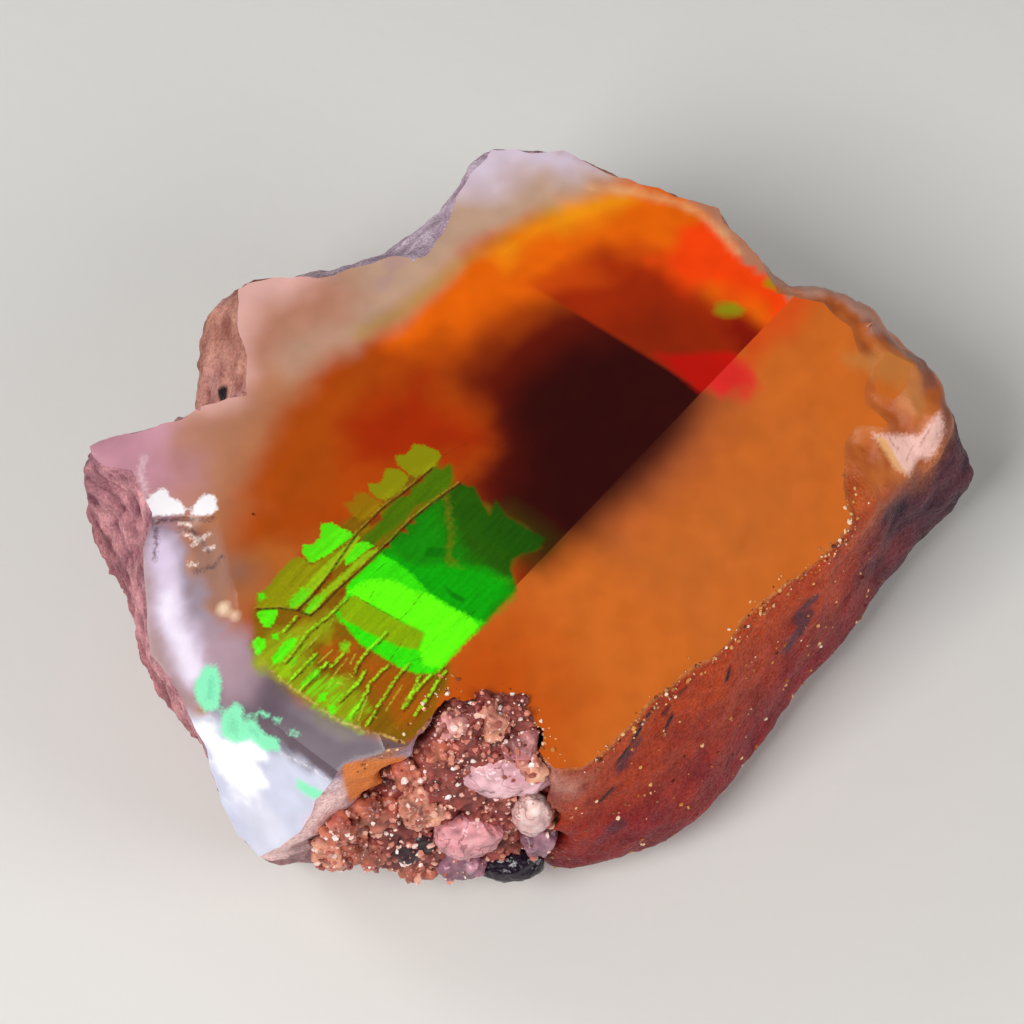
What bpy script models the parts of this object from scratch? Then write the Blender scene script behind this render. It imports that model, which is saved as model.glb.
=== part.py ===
"""Rough Ethiopian opal with a lump of host rock still on its front.

The stone stands on its underside. Two flats, ground across its top, meet in a low
ridge and make the window that shows the colour inside; the left front corner is
broken down in four falling faces; the rest is natural skin.

Metres, +Z up, +X along the longest way, origin at the bottom centre of the whole.
The dimensions below are in millimetres, from a point near the middle of the foot.
"""

import math
import random

import bmesh
import bpy
from mathutils import Matrix, Vector, noise

MM = 0.001

# The ground window: a nearly level left flat and a right flat that falls from the ridge
WINDOW_HEIGHT = 14.0
WINDOW_RISE = 0.03               # rise of the left flat for each mm to the right
RIDGE = ((-3.3, -10.9), (11.3, 6.2))
RIGHT_FLAT_SLOPE = 18.0          # degrees

# Broken faces at the left front: each falls to the right of its line, at its slope.
# (name, line start, line end, drop of the line below the left flat, slope in degrees,
#  how far the face runs back past the start of its line, or None for all the way)
BREAKS = (
    ("trough", (-11.8, -3.2), (-10.8, -7.8), 0.0, 29.0, 0.0),
    ("shoulder", (-10.7, -8.0), (-8.7, -11.4), 0.0, 27.0, 3.5),
    ("front_shoulder", (-8.7, -11.4), (-4.2, -13.7), 0.0, 26.0, None),
    ("corner_face", (-9.2, -12.8), (-6.7, -14.6), 1.0, 69.0, None),
)

# Ribs round the stone, anticlockwise from above:
# (rim x, rim y, width of the natural shelf inside the rim, its drop,
#  belly x, belly y, belly z)
RIBS = (
    # right end, with a broad lumpy shelf
    (14.2, -2.8, 0.2, 0.1, 14.3, -3.2, 2.6),
    (16.0, -0.8, 2.1, 0.4, 16.1, -0.5, 2.8),
    (17.6, 1.1, 3.6, 0.5, 18.6, 2.0, 4.4),
    (18.3, 2.7, 3.9, 0.6, 20.1, 3.1, 6.2),
    (17.9, 4.8, 3.0, 0.7, 19.3, 5.6, 6.4),
    (16.4, 6.6, 2.4, 0.8, 17.4, 8.0, 6.2),
    (15.1, 7.6, 2.3, 0.7, 15.9, 9.6, 5.6),
    (12.8, 8.0, 1.9, 0.6, 13.4, 10.8, 5.2),
    (11.6, 7.3, 0.5, 0.2, 12.1, 11.1, 5.0),
    # back right edge, up to the top lobe
    (9.9, 9.5, 0.2, 0.1, 10.5, 12.0, 5.0),
    (8.8, 11.3, 0.2, 0.1, 9.0, 13.1, 5.0),
    (5.4, 12.8, 0.2, 0.1, 5.5, 14.4, 5.0),
    (2.2, 14.5, 0.2, 0.1, 2.2, 15.3, 5.0),
    (-0.9, 14.9, 0.3, 0.1, -1.0, 15.5, 5.4),
    # low ledge behind the left side of the lobe
    (-2.1, 14.8, 1.2, 1.1, -2.8, 15.3, 5.6),
    (-3.2, 13.0, 2.1, 1.9, -4.6, 14.4, 5.4),
    (-4.3, 11.9, 2.6, 2.0, -6.0, 13.5, 5.2),
    (-4.9, 10.5, 2.5, 1.9, -7.3, 12.7, 5.2),
    (-5.8, 9.0, 0.7, 0.6, -8.4, 12.0, 5.4),
    # left shoulder and the notch
    (-7.6, 8.2, 0.2, 0.1, -9.8, 11.3, 5.8),
    (-11.2, 8.1, 0.2, 0.1, -12.6, 9.9, 6.0),
    (-11.8, 7.6, 0.2, 0.1, -13.4, 8.5, 6.4),
    (-11.3, 5.0, 0.2, 0.1, -13.5, 6.1, 6.4),
    (-11.1, 2.4, 0.2, 0.1, -13.2, 4.0, 6.4),
    (-12.6, 1.8, 0.2, 0.1, -14.4, 3.0, 6.6),
    # left tip and the rough left wall
    (-14.8, 0.9, 0.2, 0.1, -16.2, 2.0, 7.0),
    (-17.6, 0.0, 0.3, 0.3, -18.0, 0.9, 7.4),
    (-17.6, -0.7, 0.9, 0.5, -17.9, -0.1, 7.4),
    (-15.7, -1.4, 0.2, 0.1, -17.4, -0.9, 7.0),
    (-14.9, -3.2, 0.2, 0.1, -16.6, -2.4, 6.0),
    (-14.6, -6.0, 0.2, 0.1, -15.8, -5.2, 5.2),
    (-14.1, -8.8, 0.2, 0.1, -14.4, -7.6, 5.0),
    (-13.2, -10.8, 0.2, 0.1, -12.9, -9.4, 5.0),
    # the prow under the corner face
    (-12.5, -12.2, 0.1, 2.6, -11.7, -11.2, 4.6),
    (-11.3, -14.7, 0.1, 5.6, -10.7, -13.5, 3.6),
    (-10.4, -15.6, 0.1, 6.4, -9.9, -14.1, 3.4),
    (-8.1, -15.2, 0.1, 5.6, -7.9, -13.6, 3.4),
    # front, behind the lump
    (-6.4, -14.6, 0.1, 2.0, -6.2, -13.4, 3.4),
    (-4.2, -13.8, 0.1, 0.4, -4.4, -13.1, 3.2),
    (-2.7, -12.0, 0.2, 0.1, -2.6, -12.4, 3.0),
    (-0.2, -12.2, 0.2, 0.1, -0.2, -12.5, 3.0),
    (1.7, -14.1, 0.2, 0.1, 1.5, -14.1, 3.0),
    # long right flank
    (2.8, -13.8, 0.2, 0.1, 2.8, -14.2, 2.6),
    (5.1, -11.8, 0.2, 0.1, 6.2, -12.8, 2.4),
    (9.2, -7.4, 0.2, 0.1, 10.2, -8.8, 2.2),
    (11.8, -5.4, 0.2, 0.1, 12.2, -6.2, 2.2),
)
WALL_BULGE = 1.4                 # above 1 the wall keeps to the belly's reach for longer
RIM_BELOW_WINDOW = 0.35          # the rim stays this far under the flats, so they cut the wall
SHELF_BELOW_WINDOW = 0.05
FULL_SHELF = 2.0                 # from this width on, a shelf has its lumps at full height
TUCK = 2.6                       # how far the underside pulls in from the belly to the foot
FOOT_RIM = 0.5                   # height at which the foot turns into the underside
UNDERSIDE = ((0.45, -0.9), (0.78, -0.3))   # share of the foot's reach, height: sawn off at 0
UNDERSIDE_MIDDLE = -1.1
CROWN_INSET = (0.15, 1.0)        # crown inside the rim: on a plain wall, on a full shelf
CROWN_RISE = 1.4                 # crown above the window, all of it ground away
TOP_MIDDLE = 18.0
RIB_STEP = 0.95                  # spacing of the ribs after they are filled in
FOOT_ROWS = 3
WALL_ROWS = 8
SHELF_ROWS = 3
BLOCK_SIZE = 90.0                # side of the blocks that grind and break the stone

# Relief of the skin: (wavelength, height)
SKIN_WAVES = ((6.5, 0.42), (2.4, 0.24), (1.3, 0.12))
BACK_WAVE = (7.5, 1.5)           # larger swells half way up the walls at the back
BACK_REACH = (-1.0, 7.0)         # y over which those swells come in
SHELF_LUMPS = (2.3, 0.75)        # round lumps on the shelf: spacing, height
LUMP_LEVEL = 0.35                # distance from a lump's middle, in spacings, at mean height
PITS = (                         # x, y, z, radius of solution pits in the skin
    (-12.35, 3.1, 11.2, 0.42),
    (5.5, -12.2, 9.8, 0.35),
    (7.2, -10.4, 10.3, 0.32),
    (4.0, -13.3, 8.2, 0.38),
    (10.9, -7.1, 8.6, 0.40),
    (12.9, -4.6, 9.0, 0.34),
    (17.9, 0.6, 7.2, 0.45),
)

# Host rock: a core with crystal grains grown through its front
CORE_CENTRE = (-2.3, -11.7, 7.2)
CORE_RADII = (4.5, 2.6, 6.0)
GRAINS = (                       # x, y, z, radii; the first three fill out the core
    (-4.5, -12.5, 5.2, 2.9, 2.1, 3.2),
    (-1.0, -12.3, 4.4, 2.5, 1.9, 2.9),
    (-1.2, -11.7, 10.6, 2.3, 1.6, 2.5),
    (-1.8, -14.4, 6.8, 1.35, 0.9, 1.3),
    (-0.2, -13.4, 10.3, 1.9, 0.8, 0.95),
    (-2.2, -12.4, 12.8, 0.8, 0.8, 0.8),
    (-0.8, -12.3, 13.0, 0.8, 0.7, 0.8),
    (0.3, -12.9, 12.0, 0.8, 0.7, 0.7),
    (0.8, -13.8, 7.7, 0.75, 0.8, 1.35),
    (0.0, -14.1, 3.4, 1.4, 0.8, 0.9),
    (-2.1, -14.2, 3.8, 1.1, 0.9, 1.1),
    (-5.3, -14.0, 8.2, 1.1, 0.9, 0.9),
    (-6.0, -14.3, 5.4, 1.1, 0.9, 1.1),
    (-3.7, -14.0, 8.6, 1.1, 0.9, 1.1),
    (-4.2, -13.4, 10.6, 0.9, 0.7, 0.8),
    (-4.0, -14.0, 3.5, 1.2, 0.8, 0.9),
    (-7.0, -14.1, 4.2, 0.9, 0.7, 0.8),
    (-2.7, -13.0, 11.5, 0.9, 0.8, 0.8),
    (1.1, -13.8, 5.4, 0.8, 0.8, 0.9),
    (-4.0, -14.4, 5.9, 1.0, 0.9, 0.9),
)
PEBBLES = 22                     # small grains seeded between the large ones
PEBBLE_RADIUS = (0.45, 0.65)
PEBBLE_SINK = 0.94               # share of the core's radii at which the small grains sit
GRAIN_ROUGHNESS = 0.13           # how far a grain's corners stray, as a share of its radius
GRAIN_LARGEST = 1.5              # above this radius the share falls, so the core stays smooth
GRAIN_TURN = 0.5                 # radians that a grain may be turned either way
PEBBLE_FAN = (-2.9, -0.25)       # directions, in radians, that the small grains face
PEBBLE_LIFT = 0.95
SEEDS = {"core": 1, "grains": 20, "pebbles": 60, "pits": 90, "places": 7}
JOIN_GAP = 0.32                  # air between the rock and the seat it lies in
SLIVER = 0.001                   # corners closer than this are merged after a cut
SHARP_EDGE = 28.0                # degrees

OPAL_COLOUR = (0.60, 0.20, 0.035, 1.0)
ROCK_COLOUR = (0.36, 0.20, 0.15, 1.0)


def clear_scene():
    for old in list(bpy.data.objects):
        bpy.data.objects.remove(old, do_unlink=True)


def new_collection(name):
    collection = bpy.data.collections.new(name)
    bpy.context.scene.collection.children.link(collection)
    return collection


def finish_material(name, colour, roughness, transmission=0.0):
    material = bpy.data.materials.new(name)
    material.use_nodes = True
    shader = material.node_tree.nodes["Principled BSDF"]
    shader.inputs["Base Color"].default_value = colour
    shader.inputs["Roughness"].default_value = roughness
    shader.inputs["Metallic"].default_value = 0.0
    shader.inputs["Transmission Weight"].default_value = transmission
    return material


def add_object(name, mesh_data, collection):
    """Put a bmesh, in millimetres, into the scene as an object in metres."""
    mesh = bpy.data.meshes.new(name)
    mesh_data.to_mesh(mesh)
    mesh_data.free()
    mesh.transform(Matrix.Scale(MM, 4))
    obj = bpy.data.objects.new(name, mesh)
    collection.objects.link(obj)
    return obj


def make_cutter(obj):
    obj.hide_render = True
    obj.display_type = "WIRE"
    return obj


def left_flat_height(x):
    return WINDOW_HEIGHT + WINDOW_RISE * x


def falling_plane(start, end, drop, slope):
    """A point, a normal and the line's direction for a face that falls to the line's right."""
    first = Vector((*start, left_flat_height(start[0]) - drop))
    last = Vector((*end, left_flat_height(end[0]) - drop))
    along = (last - first).normalized()
    outward = along.cross(Vector((0, 0, 1))).normalized()
    angle = math.radians(slope)
    downhill = outward * math.cos(angle) - Vector((0, 0, 1)) * math.sin(angle)
    normal = along.cross(downhill).normalized()
    if normal.z < 0:
        normal.negate()
    return first, normal, along


def window_height(x, y):
    """Height of the ground window over a point, the lower of its two flats."""
    point, normal, _ = falling_plane(*RIDGE, 0.0, RIGHT_FLAT_SLOPE)
    right = point.z - (normal.x * (x - point.x) + normal.y * (y - point.y)) / normal.z
    return min(left_flat_height(x), right)


def filled_in_ribs():
    """The ribs with straight steps between them, about one RIB_STEP apart."""
    for index, rib in enumerate(RIBS):
        following = RIBS[(index + 1) % len(RIBS)]
        span = math.dist(rib[:2], following[:2])
        steps = max(1, round(span / RIB_STEP))
        for step in range(steps):
            share = step / steps
            yield [a + (b - a) * share for a, b in zip(rib, following)]


def rib_points(rib):
    """One rib's points, from under the foot to the crown above the window.

    Each comes with its share of the shelf's relief and of the wall's."""
    rim_x, rim_y, shelf, drop, belly_x, belly_y, belly_z = rib
    inward = -Vector((rim_x, rim_y)).normalized()
    rim = Vector((rim_x, rim_y))
    belly = Vector((belly_x, belly_y))
    foot = belly + inward * TUCK
    points = [(*(foot * share), height, 0.0, 0.0) for share, height in UNDERSIDE]
    for row in range(FOOT_ROWS):
        depth = 1.0 - row / FOOT_ROWS
        pulled = belly + inward * TUCK * (1.0 - math.sqrt(1.0 - depth * depth))
        points.append((*pulled, belly_z - depth * (belly_z - FOOT_RIM), 0.0, 1.0 - depth))
    rim_z = window_height(rim_x, rim_y) - RIM_BELOW_WINDOW - drop
    for row in range(WALL_ROWS):
        share = row / WALL_ROWS
        place = belly.lerp(rim, share ** WALL_BULGE)
        points.append((*place, belly_z + (rim_z - belly_z) * share, 0.0, 1.0 - share ** 3))
    on_shelf = min(1.0, shelf / FULL_SHELF)
    inner = rim + inward * shelf
    inner_z = window_height(*inner) - SHELF_BELOW_WINDOW
    for row in range(SHELF_ROWS):
        share = row / SHELF_ROWS
        place = rim.lerp(inner, share)
        rise = math.sin(share * math.pi / 2)
        points.append((*place, rim_z + (inner_z - rim_z) * rise, on_shelf, 0.0))
    points.append((*inner, inner_z, on_shelf, 0.0))
    on_wall, on_full_shelf = CROWN_INSET
    crown = inner + inward * (on_wall + (on_full_shelf - on_wall) * on_shelf)
    points.append((*crown, window_height(*crown) + CROWN_RISE, 0.0, 0.0))
    return points


def skin_height(place, on_shelf, on_wall):
    """Relief of the natural skin at a point, in millimetres."""
    height = 0.0
    for wavelength, size in SKIN_WAVES:
        height += size * noise.noise(place / wavelength)
    near, far = BACK_REACH
    at_back = min(1.0, max(0.0, (place.y - near) / (far - near)))
    wavelength, size = BACK_WAVE
    height += size * at_back * on_wall * noise.noise(place / wavelength)
    spacing, size = SHELF_LUMPS
    distance = noise.voronoi(place / spacing)[0][0]
    return height + on_shelf * size * (LUMP_LEVEL - distance)


def natural_stone():
    """The whole pebble before it was ground and broken, lofted from its ribs."""
    stone = bmesh.new()
    columns = []
    relief_shares = {}
    for rib in filled_in_ribs():
        column = []
        for x, y, z, on_shelf, on_wall in rib_points(rib):
            vertex = stone.verts.new((x, y, z))
            relief_shares[vertex] = (on_shelf, on_wall)
            column.append(vertex)
        columns.append(column)
    for column, following in zip(columns, columns[1:] + columns[:1]):
        for row in range(len(column) - 1):
            stone.faces.new((column[row], following[row], following[row + 1], column[row + 1]))
    for rim_row, height in ((0, UNDERSIDE_MIDDLE), (-1, TOP_MIDDLE)):
        centre = stone.verts.new((0, 0, height))
        relief_shares[centre] = (0.0, 0.0)
        for column, following in zip(columns, columns[1:] + columns[:1]):
            stone.faces.new((column[rim_row], following[rim_row], centre))
    bmesh.ops.recalc_face_normals(stone, faces=stone.faces)
    stone.normal_update()
    moves = [(v, v.normal * skin_height(v.co, *relief_shares[v])) for v in stone.verts]
    for vertex, move in moves:
        vertex.co += move
    bmesh.ops.triangulate(stone, faces=stone.faces)
    return stone


def grinding_block(name, point, normal, along, run_back, collection):
    """A block whose underside lies on a plane, so that subtracting it makes that face.

    The block starts run_back behind the point, measured along the line."""
    across = normal.cross(along).normalized()
    block = bmesh.new()
    bmesh.ops.create_cube(block, size=BLOCK_SIZE)
    turn = Matrix((along, across, normal)).transposed().to_4x4()
    lengthwise = 0.0 if run_back is None else BLOCK_SIZE / 2 - run_back
    centre = point + along * lengthwise + normal * BLOCK_SIZE / 2
    block.transform(Matrix.Translation(centre) @ turn)
    return make_cutter(add_object(name, block, collection))


def grinding_blocks(collection):
    level = Vector((-WINDOW_RISE, 0, 1)).normalized()
    lengthwise = Vector((1, 0, WINDOW_RISE)).normalized()
    blocks = [
        grinding_block("left_flat_block", Vector((0, 0, WINDOW_HEIGHT)), level, lengthwise,
                       None, collection),
        grinding_block("right_flat_block", *falling_plane(*RIDGE, 0.0, RIGHT_FLAT_SLOPE),
                       None, collection),
        grinding_block("foot_block", Vector((0, 0, 0)), Vector((0, 0, -1)), Vector((1, 0, 0)),
                       None, collection),
    ]
    for name, start, end, drop, slope, run_back in BREAKS:
        plane = falling_plane(start, end, drop, slope)
        blocks.append(grinding_block(name + "_block", *plane, run_back, collection))
    return blocks


def grain(centre, radii, seed, subdivisions=2):
    """A rough grain: an icosphere with its corners moved in and out a little."""
    chance = random.Random(seed)
    shape = bmesh.new()
    bmesh.ops.create_icosphere(shape, subdivisions=subdivisions, radius=1.0)
    stray = GRAIN_ROUGHNESS / max(1.0, max(radii) / GRAIN_LARGEST)
    for vertex in shape.verts:
        vertex.co *= 1.0 + stray * chance.uniform(-1, 1)
    turn = Matrix.Rotation(chance.uniform(-GRAIN_TURN, GRAIN_TURN), 4, "Z")
    stretch = Matrix.Diagonal((*radii, 1.0))
    shape.transform(Matrix.Translation(Vector(centre)) @ turn @ stretch)
    return shape


def rock_pieces():
    """(centre, radii, seed, subdivisions) of the core and of every grain on it."""
    pieces = [(CORE_CENTRE, CORE_RADII, SEEDS["core"], 3)]
    for index, values in enumerate(GRAINS):
        pieces.append((values[:3], values[3:], SEEDS["grains"] + index, 2))
    chance = random.Random(SEEDS["places"])
    for index in range(PEBBLES):
        turn = chance.uniform(*PEBBLE_FAN)
        lift = chance.uniform(-PEBBLE_LIFT, PEBBLE_LIFT)
        ring = math.sqrt(1.0 - lift * lift)
        radius = chance.uniform(*PEBBLE_RADIUS)
        spot = Vector((ring * math.cos(turn), ring * math.sin(turn), lift)) * PEBBLE_SINK
        place = Vector(CORE_CENTRE) + Vector(a * b for a, b in zip(spot, CORE_RADII))
        pieces.append((place, (radius,) * 3, SEEDS["pebbles"] + index, 1))
    return pieces


def swollen(radii, extra):
    return tuple(radius + extra for radius in radii)


def settle(obj):
    """Replace the object's mesh by its evaluated one and drop its modifiers."""
    bpy.context.view_layer.update()
    evaluated = obj.evaluated_get(bpy.context.evaluated_depsgraph_get())
    result = bpy.data.meshes.new_from_object(evaluated)
    obj.modifiers.clear()
    obj.data = result


def combine(obj, operation, tools):
    """Cut or join each tool into the object, and keep the result as a plain mesh."""
    for tool in tools:
        step = obj.modifiers.new(tool.name, "BOOLEAN")
        step.object = tool
        step.operation = operation
        step.solver = "EXACT"
    settle(obj)


def shells(shape):
    """The connected sets of vertices of a bmesh, largest first."""
    left = set(shape.verts)
    found = []
    while left:
        reach = [left.pop()]
        shell = set(reach)
        while reach:
            for edge in reach.pop().link_edges:
                for vertex in edge.verts:
                    if vertex in left:
                        left.remove(vertex)
                        shell.add(vertex)
                        reach.append(vertex)
        found.append(shell)
    return sorted(found, key=len, reverse=True)


def tidy_mesh(obj):
    """Keep the one main body, merge the slivers that cutting leaves, and triangulate."""
    shape = bmesh.new()
    shape.from_mesh(obj.data)
    for stray in shells(shape)[1:]:
        bmesh.ops.delete(shape, geom=list(stray), context="VERTS")
    bmesh.ops.remove_doubles(shape, verts=shape.verts, dist=SLIVER * MM)
    bmesh.ops.dissolve_degenerate(shape, edges=shape.edges, dist=SLIVER * MM)
    bmesh.ops.triangulate(shape, faces=shape.faces)
    shape.to_mesh(obj.data)
    shape.free()


def grain_cutters(prefix, pieces, extra, collection):
    """One cutter for each grain, its radii larger by extra."""
    return [
        make_cutter(add_object("%s_%02d" % (prefix, index),
                               grain(centre, swollen(radii, extra), seed, level), collection))
        for index, (centre, radii, seed, level) in enumerate(pieces)
    ]


def build_opal(parts, cutters, rock):
    opal = add_object("opal", natural_stone(), parts)
    combine(opal, "DIFFERENCE", grinding_blocks(cutters))
    pits = [((x, y, z), (radius,) * 3, SEEDS["pits"] + index, 1)
            for index, (x, y, z, radius) in enumerate(PITS)]
    seat = grain_cutters("seat", rock, JOIN_GAP, cutters)
    combine(opal, "DIFFERENCE", seat + grain_cutters("pit", pits, 0.0, cutters))
    tidy_mesh(opal)
    return opal


def build_matrix(parts, cutters, rock):
    matrix = add_object("matrix", grain(*rock[0]), parts)
    combine(matrix, "UNION", grain_cutters("grain", rock[1:], 0.0, cutters))
    tidy_mesh(matrix)
    return matrix


def stand_at_origin(objects):
    """Move the meshes so that the origin is the bottom centre of their common box."""
    corners = [vertex.co for obj in objects for vertex in obj.data.vertices]
    low = Vector(min(corner[axis] for corner in corners) for axis in range(3))
    high = Vector(max(corner[axis] for corner in corners) for axis in range(3))
    shift = Vector((-(low.x + high.x) / 2, -(low.y + high.y) / 2, -low.z))
    for obj in objects:
        obj.data.transform(Matrix.Translation(shift))
    print("shift mm", [round(value / MM, 3) for value in shift],
          "size mm", [round(value / MM, 3) for value in high - low])


def main():
    clear_scene()
    parts = new_collection("rough_opal")
    cutters = new_collection("cutters")
    rock = rock_pieces()
    opal = build_opal(parts, cutters, rock)
    matrix = build_matrix(parts, cutters, rock)
    opal.data.materials.append(finish_material("opal", OPAL_COLOUR, 0.15, 0.2))
    matrix.data.materials.append(finish_material("host_rock", ROCK_COLOUR, 0.75))
    for obj in (opal, matrix):
        obj.data.shade_smooth()
        obj.data.set_sharp_from_angle(angle=math.radians(SHARP_EDGE))
    stand_at_origin((opal, matrix))


main()
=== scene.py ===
# Rough opal with a lump of host rock: the finish of every surface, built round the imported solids.
# Lengths are in millimetres until a mesh is done; a finished mesh is in metres.
import math
import random

import bmesh
import bpy
import numpy as np
from mathutils import Matrix, Vector, geometry, kdtree, noise


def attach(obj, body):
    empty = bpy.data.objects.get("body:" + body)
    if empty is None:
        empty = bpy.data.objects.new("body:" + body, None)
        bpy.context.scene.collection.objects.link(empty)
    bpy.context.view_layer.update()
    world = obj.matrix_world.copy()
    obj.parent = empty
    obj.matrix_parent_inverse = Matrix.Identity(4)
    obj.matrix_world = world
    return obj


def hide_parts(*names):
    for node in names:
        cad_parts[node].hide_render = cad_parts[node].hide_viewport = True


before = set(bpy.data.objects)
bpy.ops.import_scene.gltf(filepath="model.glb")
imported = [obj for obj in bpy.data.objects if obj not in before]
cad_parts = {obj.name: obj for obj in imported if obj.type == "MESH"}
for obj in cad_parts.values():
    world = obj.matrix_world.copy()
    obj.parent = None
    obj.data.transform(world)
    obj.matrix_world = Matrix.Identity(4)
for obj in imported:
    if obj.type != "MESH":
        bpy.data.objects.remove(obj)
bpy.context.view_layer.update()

mm = 0.001
tiny = 1e-9                                  # stands in for zero under a division
up = Vector((0, 0, 1))
drawingZero = Vector((-0.926, -0.346, 0.0))  # where the drawing's own zero lies in the frame
fractal = (0.9, 2.1, 3)                      # how fast the octaves fade, their ratio, their number


def linear(hexColour):  # sRGB hex to the linear colour that shaders take
    parts = [int(hexColour[i:i + 2], 16) / 255 for i in (1, 3, 5)]
    return tuple(((p + 0.055) / 1.055) ** 2.4 if p > 0.04045 else p / 12.92 for p in parts) + (1.0,)


def addNode(tree, kind, inputs=None, **settings):
    node = tree.nodes.new(kind)
    for name, value in settings.items():
        setattr(node, name, value)
    for key, value in (inputs or {}).items():
        if isinstance(value, bpy.types.NodeSocket):
            tree.links.new(value, node.inputs[key])
        else:
            node.inputs[key].default_value = value
    return node


def waver(place, size):  # smooth noise with lumps of this size, about -1 to 1
    return noise.fractal(Vector(place) / size, *fractal)


def searchTree(places):
    tree = kdtree.KDTree(len(places))
    for i, place in enumerate(places):
        tree.insert(place, i)
    tree.balance()
    return tree


def relax(shape, free, passes):  # evens out these corners
    for _ in range(passes):
        bmesh.ops.smooth_vert(shape, verts=free, factor=0.5,
                              use_axis_x=True, use_axis_y=True, use_axis_z=True)


def newMaterial(name):
    material = bpy.data.materials.new(name)
    material.use_nodes = True
    material.node_tree.nodes.clear()
    return material, material.node_tree


def addObject(name, shape):  # a bmesh in millimetres becomes an object in metres
    mesh = bpy.data.meshes.new(name)
    shape.to_mesh(mesh)
    shape.free()
    mesh.transform(Matrix.Scale(mm, 4))
    obj = bpy.data.objects.new(name, mesh)
    bpy.context.scene.collection.objects.link(obj)
    return obj


def cadCopy(nodeName):  # the node's loose triangles, joined into one skin, in millimetres
    shape = bmesh.new()
    shape.from_mesh(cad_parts[nodeName].data)
    shape.transform(Matrix.Scale(1 / mm, 4))
    bmesh.ops.remove_doubles(shape, verts=shape.verts, dist=stoneMesh["joinWithin"])
    return shape


# the two ground flats of the window, and the broken corner, as planes
window = {
    "ridgeStart": (-3.3, -10.9),
    "ridgeEnd": (11.3, 6.2),
    "leftHeight": 14.0,
    "leftRise": 0.03,      # of the left flat, for each mm to the right
    "rightSlope": 18.0,    # degrees
}
breaks = {                 # line start, line end, drop below the left flat, slope in degrees, run back
    "trough": ((-11.8, -3.2), (-10.8, -7.8), 0.0, 29.0, 0.0),
    "shoulder": ((-10.7, -8.0), (-8.7, -11.4), 0.0, 27.0, 3.5),
    "frontShoulder": ((-8.7, -11.4), (-4.2, -13.7), 0.0, 26.0, None),
    "cornerFace": ((-9.2, -12.8), (-6.7, -14.6), 1.0, 69.0, None),
}


def leftHeight(x):
    return window["leftHeight"] + window["leftRise"] * x


def fallingPlane(start, end, drop, slope):  # the face falls to the right of its line
    first = Vector((*start, leftHeight(start[0]) - drop))
    last = Vector((*end, leftHeight(end[0]) - drop))
    along = (last - first).normalized()
    outward = along.cross(up).normalized()
    downhill = outward * math.cos(math.radians(slope)) - up * math.sin(math.radians(slope))
    normal = along.cross(downhill).normalized()
    return first + drawingZero, normal if normal.z > 0 else -normal, along


def facetPlanes():  # name, point, normal of each flat face of the stone
    right = fallingPlane(window["ridgeStart"], window["ridgeEnd"], 0.0, window["rightSlope"])
    middle = Vector((0, 0, window["leftHeight"])) + drawingZero
    planes = [
        ("leftFlat", middle, Vector((-window["leftRise"], 0, 1)).normalized()),
        ("rightFlat", right[0], right[1]),
        ("foot", Vector((0, 0, 0)), -up),
    ]
    for name, (start, end, drop, slope, runBack) in breaks.items():
        point, normal, along = fallingPlane(start, end, drop, slope)
        planes.append((name, point, normal))
        if runBack is not None:
            planes.append((name + "End", point - along * runBack, along))
    return planes


# the stone's faces, meshed afresh
stoneMesh = {
    "joinWithin": 0.0008,
    "onPlane": 0.004,        # a corner this close to a plane lies on it
    "skinEdge": 0.29,        # longest edge on the natural skin
    "roughEdge": 0.55,       # longest edge while the skin is first smoothed
    "halvings": 9,           # rounds of halving long edges, at most
    "smoothing": (5, 3),     # passes on the rough mesh and on the fine one
    "windowStep": 0.24,      # spacing of points on the ground flats
    "fireStep": 0.095,       # and where the play of colour has its fine outlines
    "fireField": (-4.2, 9.4, -1.6, 8.4),  # from and to along the ridge, then across it
    "footStep": 0.9,
    "breakStep": 0.2,
    "rowStep": 0.87,         # rows of points, as a share of their spacing
    "jitter": 0.18,          # how far a point strays, as a share of the spacing
    "rimGap": 0.6,           # nearest that a point lies to the rim, as a share of the spacing
    "block": 4000,           # points tested at a time
    "mergeWithin": 1e-7,
    "chipped": 0.16,         # how far the rims of the flats stray, as chipping leaves them
    "chipSize": 0.9,
    "fineChipSize": 0.35,
    "fineChipShare": 0.2,
    "chippedFaces": ("leftFlat", "rightFlat", "cornerFace", "frontShoulder"),
    "softBreaks": ("trough", "shoulder", "frontShoulder"),
    "breakPasses": 28,
    "seamReach": 1.0,        # the left flat is rounded this far from its breaks
    "wornTip": (-17.1, 0.0, 13.4),
    "tipReach": 1.4,
    "tipPasses": 5,
    "seed": 5,
}

noise.seed_set(stoneMesh["seed"])  # it starts from the clock otherwise
facets = facetPlanes()
facetNames = ["skin"] + [facet[0] for facet in facets]
ridgeStart = Vector((*window["ridgeStart"], 0)) + drawingZero
ridgeAlong = (Vector(window["ridgeEnd"]) - Vector(window["ridgeStart"])).normalized()
ridgeAcross = Vector((-ridgeAlong.y, ridgeAlong.x))


def ridgePlace(x, y):  # frame millimetres to millimetres along and across the ridge
    dx, dy = x - ridgeStart.x, y - ridgeStart.y
    return (dx * ridgeAlong.x + dy * ridgeAlong.y, dx * ridgeAcross.x + dy * ridgeAcross.y)


def markFacets(shape):  # the number of the flat face that each triangle lies on, 0 for skin
    layer = shape.faces.layers.int.new("facet")
    for face in shape.faces:
        for index, (_, point, normal) in enumerate(facets, 1):
            if all(abs((v.co - point).dot(normal)) < stoneMesh["onPlane"] for v in face.verts):
                face[layer] = index
                break
    return layer


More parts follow.
